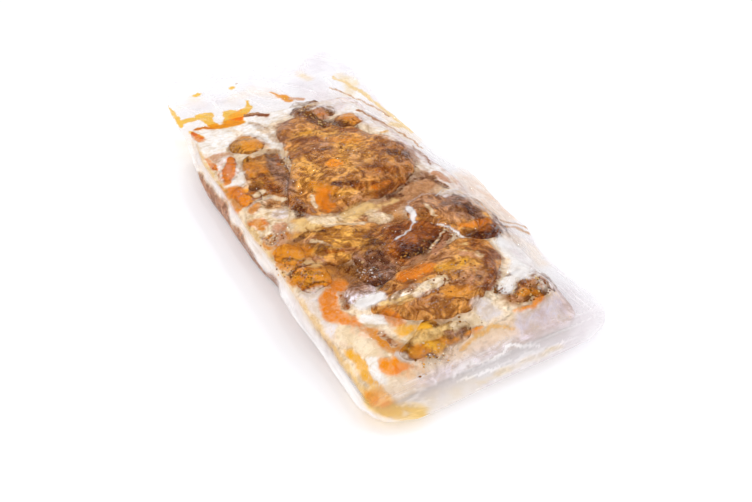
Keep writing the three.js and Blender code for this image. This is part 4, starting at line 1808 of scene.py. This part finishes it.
CRUMBS = (
    Scatter(150, 5.5, (Tone.BROWN, Tone.RUST, Tone.OLIVE, Tone.STRAW), ((8, 80), (12, 66), (18, 54))),
    Scatter(60, 4.0, (Tone.OLIVE, Tone.GOLD, Tone.STRAW), ((14, 82), (24, 86))),
    Scatter(60, 4.5, (Tone.RUST, Tone.BROWN, Tone.GOLD), ((24, 48), (36, 50))),
    Scatter(60, 5.0, (Tone.BROWN, Tone.OLIVE, Tone.TAN), ((36, 14), (42, 0), (36, -12))),
    Scatter(40, 3.0, (Tone.CREAM, Tone.TAN), ((-24, 30), (-22, 14))),
    Scatter(40, 4.0, (Tone.RUST, Tone.GOLD), ((-44, 20), (-40, 4))),
    Scatter(40, 4.0, (Tone.RUST, Tone.BROWN, Tone.TAN), ((-36, -10), (-34, -26))),
    Scatter(50, 3.4, (Tone.RUST, Tone.AMBER, Tone.CREAM), ((-61, -36), (-52, -36))),
    Scatter(90, 5.0, (Tone.OLIVE, Tone.YELLOW, Tone.BROWN), ((-60, -58), (-52, -74))),
    Scatter(70, 4.0, (Tone.BROWN, Tone.UMBER, Tone.GOLD), ((-6, -80), (16, -82))),
    Scatter(70, 5.0, (Tone.BROWN, Tone.TAN, Tone.PEARL), ((-30, -78), (-22, -92))),
    Scatter(40, 3.0, (Tone.CREAM, Tone.BROWN), ((22, -70), (28, -84))),
    Scatter(30, 3.0, (Tone.BROWN, Tone.RUST), ((38, -84), (50, -84))),
    Scatter(50, 3.6, (Tone.OLIVE, Tone.YELLOW, Tone.CREAM), ((-30, -138), (-14, -140))),
    Scatter(70, 5.0, (Tone.OLIVE, Tone.RUST, Tone.STRAW), ((24, -130), (46, -128))),
    Scatter(30, 2.6, (Tone.BROWN, Tone.OLIVE), ((20, -124), (26, -122))),
    Scatter(24, 3.0, (Tone.STRAW, Tone.OLIVE), ((-26, -130), (8, -133))),
    Scatter(70, 16.0, (Tone.STRAW, Tone.BROWN, Tone.GOLD), ((8, 20), (20, -4))),
    Scatter(60, 12.0, (Tone.STRAW, Tone.BROWN, Tone.RUST), ((-6, -112), (14, -110))),
)

BUBBLES = (
    Scatter(26, 3.0, (Tone.CREAM,), ((-22, 36), (-24, 16))),
    Scatter(20, 14.0, (Tone.CREAM,), ((4, 30), (14, 6))),
    Scatter(16, 10.0, (Tone.CREAM,), ((30, 4), (20, -16))),
    Scatter(14, 4.0, (Tone.CREAM,), ((-34, -10), (-32, -24))),
    Scatter(20, 5.0, (Tone.CREAM,), ((-58, -34), (-54, -62))),
    Scatter(20, 10.0, (Tone.CREAM,), ((-10, -70), (14, -80))),
    Scatter(16, 6.0, (Tone.CREAM,), ((-30, -78), (-22, -92))),
    Scatter(18, 2.0, (Tone.CREAM,), ((24, -66), (28, -80))),
    Scatter(24, 12.0, (Tone.CREAM,), ((-10, -112), (22, -106))),
    Scatter(22, 5.0, (Tone.CREAM,), ((-30, -136), (-8, -140))),
    Scatter(16, 5.0, (Tone.CREAM,), ((28, -128), (46, -126))),
    Scatter(14, 4.0, (Tone.CREAM,), ((-60, 30), (-56, 0))),
)


@dataclass
class Specks:
    """Small grains just under the film: crumbs of meat and spice, or trapped bubbles."""

    name: str
    handfuls: tuple
    sight: Sight
    film: Array
    raster: Raster
    finish: bpy.types.Material
    sizes: tuple[float, float]
    depth: float
    seed: int
    pitch: float = 4.0
    height_guess: float = 22.0
    stretch: tuple[float, float] = (0.7, 1.5)
    flatness: float = 0.6
    tint: float = 0.97
    haze: float = 0.10

    def _grains(self, count: int) -> bmesh.types.BMesh:
        """Makes balls of radius 1 in a row, a pitch apart, by doubling what there is.

        Args:
            count: How many balls.

        Returns:
            The balls.
        """
        bm = bmesh.new()
        bmesh.ops.create_icosphere(bm, subdivisions=2, radius=1)
        made = 1
        while made < count:
            short = max(2 * made - count, 0)
            kept = [item for kind in (bm.verts, bm.edges, bm.faces) for item in kind]
            if short:
                limit = self.pitch * (made - short - 0.5)
                kept = [vert for vert in bm.verts if vert.co.x < limit]
                held = set(kept)
                kept += [face for face in bm.faces if held.issuperset(face.verts)]
                kept += [edge for edge in bm.edges if held.issuperset(edge.verts)]
            copies = bmesh.ops.duplicate(bm, geom=kept)["geom"]
            moved = [item for item in copies if isinstance(item, bmesh.types.BMVert)]
            bmesh.ops.translate(bm, verts=moved, vec=(self.pitch * made, 0, 0))
            made += made - short
        return bm

    def build(self) -> bpy.types.Object:
        """Makes all the grains as one piece.

        Returns:
            The piece.
        """
        draw = np.random.RandomState(self.seed)
        spots, tones = [], []
        for handful in self.handfuls:
            line = np.array(handful.points, float)
            for _ in range(handful.count):
                leg = draw.randint(len(line) - 1)
                spot = mix(line[leg], line[leg + 1], draw.uniform())
                spots.append(spot + draw.normal(0, 0.5 * handful.spread, 2))
                tones.append(handful.tones[draw.randint(len(handful.tones))].rgb)
        piece = to_object(self.name, self._grains(len(spots)))
        ball = places_of(piece)
        grain = np.round(ball[:, 0] / self.pitch).astype(int)
        ball[:, 0] -= self.pitch * grain
        x, y = self.sight.carry(*np.array(spots).T, self.height_guess)
        size = draw.uniform(*self.sizes, len(spots)) ** 2 / self.sizes[1]
        z = self.raster.sample(self.film, x, y) - self.depth * size
        turn = draw.uniform(0, math.pi, len(spots))[grain]
        long = ball[:, 0] * draw.uniform(*self.stretch, len(spots))[grain]
        wide = np.cos(turn) * ball[:, 1] + np.sin(turn) * long
        long = np.cos(turn) * long - np.sin(turn) * ball[:, 1]
        size = size[grain]
        z = z[grain] + self.flatness * size * ball[:, 2]
        move_to(piece, x[grain] + size * long, y[grain] + size * wide, z)
        colour = np.concatenate([np.array(tones)[grain], np.ones((len(grain), 1))], 1)
        put_values(piece, "stain", np.clip(colour, 0, 1))
        put_values(piece, "tint", np.full((len(colour), 4), self.tint))
        put_values(piece, "haze", np.full(len(colour), self.haze))
        piece.data.materials.append(self.finish)
        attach(piece, "root")
        return piece


@dataclass
class Film:
    """The clear film: an upper sheet drawn down on the food, and a lower sheet."""

    sight: Sight
    pouch: Pouch
    side: LeftSide
    finish: bpy.types.Material
    columns: int = 200
    rows: int = 430
    clearance: float = 0.12
    slack_drop: float = 0.3
    pull: float = 1.3
    pulls: int = 7
    fold_bearing: float = 32.0
    far_folds: float = 1.1
    side_folds: float = 0.8
    near_folds: float = 0.7
    body_folds: float = 0.32
    lower_folds: float = 0.25
    loose_haze: float = 0.012
    near_haze: float = 0.30
    side_haze: float = 0.14
    far_haze: float = 0.05
    # Painted highlights: how white the crease ridges are in the slack film, and the wrinkle lines on
    # the body.
    fold_highlight_haze: float = 0.50
    wrinkle_highlight_haze: float = 0.20
    lower_haze: float = 0.02
    most_haze: float = 0.97
    clear: float = 0.985
    # Painted shade: strength of the grey-lavender tint over the loose film.
    painted_film_shade: float = 0.7
    broad: Noise = field(default_factory=lambda: Noise(11))
    fine: Noise = field(default_factory=lambda: Noise(12))

    def drape(self, cover: Array) -> Array:
        """Draws the upper film down on the food.

        Args:
            cover: Height of the food on the raster.

        Returns:
            Height of the film on the raster.
        """
        raster = self.pouch.raster
        slack = self.pouch.top - self.slack_drop
        ground = np.where(cover > NO_FOOD, cover + self.clearance, slack)
        film = ground.copy()
        for _ in range(self.pulls):
            film = np.maximum(ground, raster.blur(film, self.pull))
        self.gap = film - ground
        return film + self._creases(raster.x, raster.y)

    def _turned(self, x: Array, y: Array) -> tuple[Array, Array]:
        """Measures places along and across the bearing of the film's folds.

        Args:
            x: Places across the pouch.
            y: Places along it.

        Returns:
            Places along and across the folds, in mm.
        """
        turn = math.radians(self.fold_bearing)
        along = x * math.cos(turn) + y * math.sin(turn)
        return along, y * math.cos(turn) - x * math.sin(turn)

    def _slack(self, x: Array, y: Array) -> tuple[Array, ...]:
        """Where the film is slack, and its pattern of creases there.

        Args:
            x: Places across.
            y: Places along.

        Returns:
            Shares of the far end, the near end and the right side, then the creases of each.
        """
        broad, fine = self.broad, self.fine
        tx, ty = self._turned(x, y)
        right = self.pouch.edges(y)[1]
        far = smooth(y, 84, 104)
        near = 1 - smooth(y, -150, -136)
        side = smooth(x, right - 26, right - 14) * (1 - far) * (1 - near)
        crumple = broad.ridges(tx, ty * 0.45, 15, 5) + 0.4 * fine.ridges(tx * 0.8, ty, 6, 4)
        long = broad.ridges(x, y * 0.12, 5.5, 3) + 0.5 * fine.ridges(x, y * 0.2, 2.6, 3)
        cross = broad.ridges(x * 0.12, y, 5, 3) + 0.5 * fine.ridges(x * 0.3, y, 2.4, 3)
        return far, near, side, crumple, long, cross

    def _creases(self, x: Array, y: Array) -> Array:
        """How far the film stands up in creases.

        Args:
            x: Places across, on the raster.
            y: Places along, on the raster.

        Returns:
            Heights above the smooth film, in mm.
        """
        far, near, side, crumple, long, cross = self._slack(x, y)
        tx, ty = self._turned(x, y)
        body = self.fine.ridges(tx * 0.5, ty, 5, 6) + 0.6 * self.broad.ridges(tx, ty * 0.6, 9, 8)
        slack = 0.25 + 0.75 * smooth(self.gap, 0.1, 0.8)
        rise = self.far_folds * far * crumple + self.side_folds * side * long
        rise = rise + self.near_folds * near * cross
        return rise + self.body_folds * (1 - far) * (1 - near) * slack * body

    def _haze(self, x: Array, y: Array, z: Array) -> Array:
        """How white the film is: milky where it is loose or off the food, with painted highlights as
        thin white lines on its creases.

        Args:
            x: Places across.
            y: Places along.
            z: Heights.

        Returns:
            Values from 0, clear, to almost 1, white.
        """
        rx, ry = Wander(50).bend(*self.sight.read(x, y, z))
        haze = self.loose_haze * smooth(self.pouch.raster.sample(self.gap, x, y), 0.7, 2.0)
        # Painted highlights: the thin dabs make white lines where glints on creases would be; the
        # wide ones make milky patches.
        for item in HAZE_AND_HIGHLIGHTS:
            haze = np.maximum(haze, smooth(item.mask(rx, ry), 0.2, 0.8) * item.strength)
        streaks = Noise(52).rough(x * 0.5, y, 7, 4)
        haze = haze * (0.8 + 0.5 * streaks)
        far, near, side, crumple, long, cross = self._slack(x, y)
        folds = far * crumple + side * long + near * cross
        loose = self.near_haze * near + self.side_haze * side + self.far_haze * far
        haze = np.maximum(haze, loose)
        # Painted highlights: white haze along the ridges of the creases, in the slack film and in
        # patches on the body.
        haze = np.maximum(haze, self.fold_highlight_haze * smooth(folds, 0.25, 1.0))
        wrinkles = Noise(58).ridges(0.3 * x + 0.2 * y, y - 0.35 * x, 5.5, 24)
        patch = smooth(Noise(59).rough(x, y, 22, 2), -0.1, 0.3) * (1 - far)
        haze = np.maximum(haze, self.wrinkle_highlight_haze * wrinkles * patch)
        fibres = Noise(53).rough(x, y * 0.14, 1.9, 3)
        seam = self.side.seam(x, y, z, self.pouch.edges(y)[0], fibres)
        return np.clip(np.maximum(haze, seam), 0, self.most_haze)

    def _tint(self, x: Array, y: Array, z: Array) -> Array:
        """Colour of the light that the film lets through: grease tints, and painted grey-lavender
        shade on the loose film.

        Args:
            x: Places across.
            y: Places along.
            z: Heights.

        Returns:
            One row of red, green, blue and alpha for each place.
        """
        rx, ry = Wander(54).bend(*self.sight.read(x, y, z))
        rough = 0.7 + 0.9 * Noise(56).rough(x, y, 9, 4)
        tint = np.full((len(x), 4), self.clear)
        # Painted shade: the loose film is tinted grey-lavender in patches.
        far, near, side = self._slack(x, y)[:3]
        loose = np.clip(0.5 * far + near + side, 0, 1)
        patch = smooth(Noise(57).rough(x, y, 26, 4), -0.25, 0.35)
        painted_film_shade = (loose * (0.15 + 0.85 * patch))[:, None]
        tint[:, :3] = mix(tint[:, :3], np.sqrt(linear(Tone.LILAC.value)), self.painted_film_shade * painted_film_shade)
        for item in VEILS:
            share = np.clip(item.mask(rx, ry) * rough, 0, 1)[:, None]
            tint[:, :3] = mix(tint[:, :3], np.sqrt(linear(item.tone.value)), share)
        for item in SEEPS:
            share = smooth(item.mask(rx, ry), 0.2, 1.0)[:, None]
            tint[:, :3] = mix(tint[:, :3], linear(item.tone.value) ** 0.7, share)
        return tint

    def build_upper(self, film: Array) -> bpy.types.Object:
        """Makes the upper sheet.

        Args:
            film: Its height on the raster.

        Returns:
            The piece.
        """
        bm = bmesh.new()
        bmesh.ops.create_grid(bm, x_segments=self.columns, y_segments=self.rows, size=1)
        piece = to_object("film_upper", bm)
        x, y = self._spread(places_of(piece))
        z = self.pouch.raster.sample(film, x, y)
        move_to(piece, x, y, z)
        put_values(piece, "haze", self._haze(x, y, z))
        put_values(piece, "tint", self._tint(x, y, z))
        return self._finish(piece)

    def build_lower(self) -> bpy.types.Object:
        """Makes the lower sheet, which lies on the floor under the filled part.

        Returns:
            The piece.
        """
        bm = bmesh.new()
        bmesh.ops.create_grid(bm, x_segments=self.columns // 2, y_segments=self.rows // 2, size=1)
        bmesh.ops.reverse_faces(bm, faces=list(bm.faces))
        piece = to_object("film_lower", bm)
        x, y = self._spread(places_of(piece))
        z = self.pouch.raster.sample(self.pouch.bottom, x, y)
        lift = self.lower_folds * Noise(13).ridges(x, y, 7, 3)
        move_to(piece, x, y, z + lift)
        put_values(piece, "haze", np.full(len(x), self.lower_haze))
        put_values(piece, "tint", np.full((len(x), 4), self.clear))
        return self._finish(piece)

    def _spread(self, cell: Array) -> tuple[Array, Array]:
        """Spreads a square grid over the pouch's outline.

        Args:
            cell: The grid's points, from -1 to 1 both ways.

        Returns:
            Places across and along.
        """
        v = (cell[:, 1] + 1) / 2
        y = mix(self.pouch.stations[0], self.pouch.stations[-1], v)
        left, right = self.pouch.edges(y)
        return mix(left, right, (cell[:, 0] + 1) / 2), y

    def _finish(self, piece: bpy.types.Object) -> bpy.types.Object:
        """Gives a sheet its finish and its place in the pouch.

        Args:
            piece: The sheet.

        Returns:
            The same piece.
        """
        piece.data.materials.append(self.finish)
        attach(piece, "root")
        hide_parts(NODE)
        return piece


@dataclass
class Lamp:
    """One soft box: where it stands, what it faces, how wide and how strong it is."""

    name: str
    place: tuple
    width: float
    power: float
    tint: tuple = (1.0, 1.0, 1.0)

    def build(self, aim: Vector) -> None:
        """Sets up the lamp.

        Args:
            aim: The point that it faces, in metres.
        """
        data = bpy.data.lights.new(self.name, "AREA")
        data.shape = "SQUARE"
        data.size = self.width
        data.energy = self.power
        data.color = self.tint
        lamp = bpy.data.objects.new(self.name, data)
        lamp.location = self.place
        lamp.rotation_mode = "QUATERNION"
        lamp.rotation_quaternion = (aim - lamp.location).to_track_quat("-Z", "Y")
        bpy.context.scene.collection.objects.link(lamp)


@dataclass
class Studio:
    """The pale floor, the soft light and the camera."""

    sight: Sight
    floor_half: float = 3.0
    floor_drop: float = 0.0004
    floor_cells: int = 8
    ambient: float = 0.80
    sky_tint: tuple = (0.945, 0.945, 1.0, 1)
    lamps: tuple = (
        Lamp("key", (0.75, -0.30, 0.66), 0.6, 1.5, (1.0, 0.985, 0.96)),
        Lamp("fill", (-0.75, -0.25, 0.55), 0.8, 3.4),
        Lamp("glint_far", (0.28, 0.46, 0.50), 0.025, 0.40),
        Lamp("glint_right", (0.55, 0.10, 0.55), 0.025, 0.36),
        Lamp("glint_left", (-0.25, 0.45, 0.60), 0.025, 0.36),
        Lamp("glint_top", (0.10, 0.05, 0.85), 0.025, 0.36),
    )

    def build(self) -> None:
        """Sets up the floor, the lamps, the sky and the camera."""
        bm = bmesh.new()
        cells = self.floor_cells
        bmesh.ops.create_grid(bm, x_segments=cells, y_segments=cells, size=self.floor_half)
        bmesh.ops.translate(bm, verts=list(bm.verts), vec=(0, 0, -self.floor_drop))
        floor = to_object("floor", bm)
        floor.data.materials.append(FloorFinish().build())
        aim = Vector(self.sight.aim) * MM
        for lamp in self.lamps:
            lamp.build(aim)
        world = bpy.data.worlds.new("sky")
        world.use_nodes = True
        sky = world.node_tree.nodes["Background"]
        sky.inputs["Color"].default_value = self.sky_tint
        sky.inputs["Strength"].default_value = self.ambient
        bpy.context.scene.world = world
        data = bpy.data.cameras.new("camera")
        data.lens = self.sight.lens
        data.sensor_width = self.sight.sensor
        camera = bpy.data.objects.new("camera", data)
        camera.location = Vector(self.sight.eye) * MM
        camera.rotation_mode = "QUATERNION"
        camera.rotation_quaternion = (-Vector(self.sight.back)).to_track_quat("-Z", "Y")
        bpy.context.scene.collection.objects.link(camera)
        bpy.context.scene.camera = camera
        bpy.context.scene.view_settings.view_transform = "Standard"


def main() -> None:
    """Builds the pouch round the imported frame."""
    logging.basicConfig(level=logging.INFO, format="%(message)s")
    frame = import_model()
    sight = Sight()
    Studio(sight).build()
    pouch = Pouch(frame["nodes"][NODE], Raster())
    food = FoodFinish().build()
    sauce = FoodFinish(name="sauce", contrast=0.4, roughness=0.25, bump=0.3).build()
    side = LeftSide()
    filling = Filling(sight, pouch, Palette(sight, side), food, sauce)
    film = Film(sight, pouch, side, FilmFinish().build())
    height = film.drape(filling.settle())
    pieces = [filling.build_slice(item) for item in SLICES]
    pieces.append(filling.build_sauce())
    crumb, bubble = CrumbFinish().build(), FilmFinish(name="bubble", mirror=0.05).build()
    grains = (
        ("crumbs", CRUMBS, crumb, (0.25, 0.62), 0.4),
        ("bubbles", BUBBLES, bubble, (0.3, 0.85), 0.2),
    )
    for seed, (name, handfuls, finish, sizes, depth) in enumerate(grains, 80):
        scatter = Specks(name, handfuls, sight, height, pouch.raster, finish, sizes, depth, seed)
        pieces.append(scatter.build())
    pieces.append(film.build_upper(height))
    pieces.append(film.build_lower())
    for piece in pieces:
        log.info("%s: %d faces", piece.name, len(piece.data.polygons))


if __name__ == "__main__":
    main()
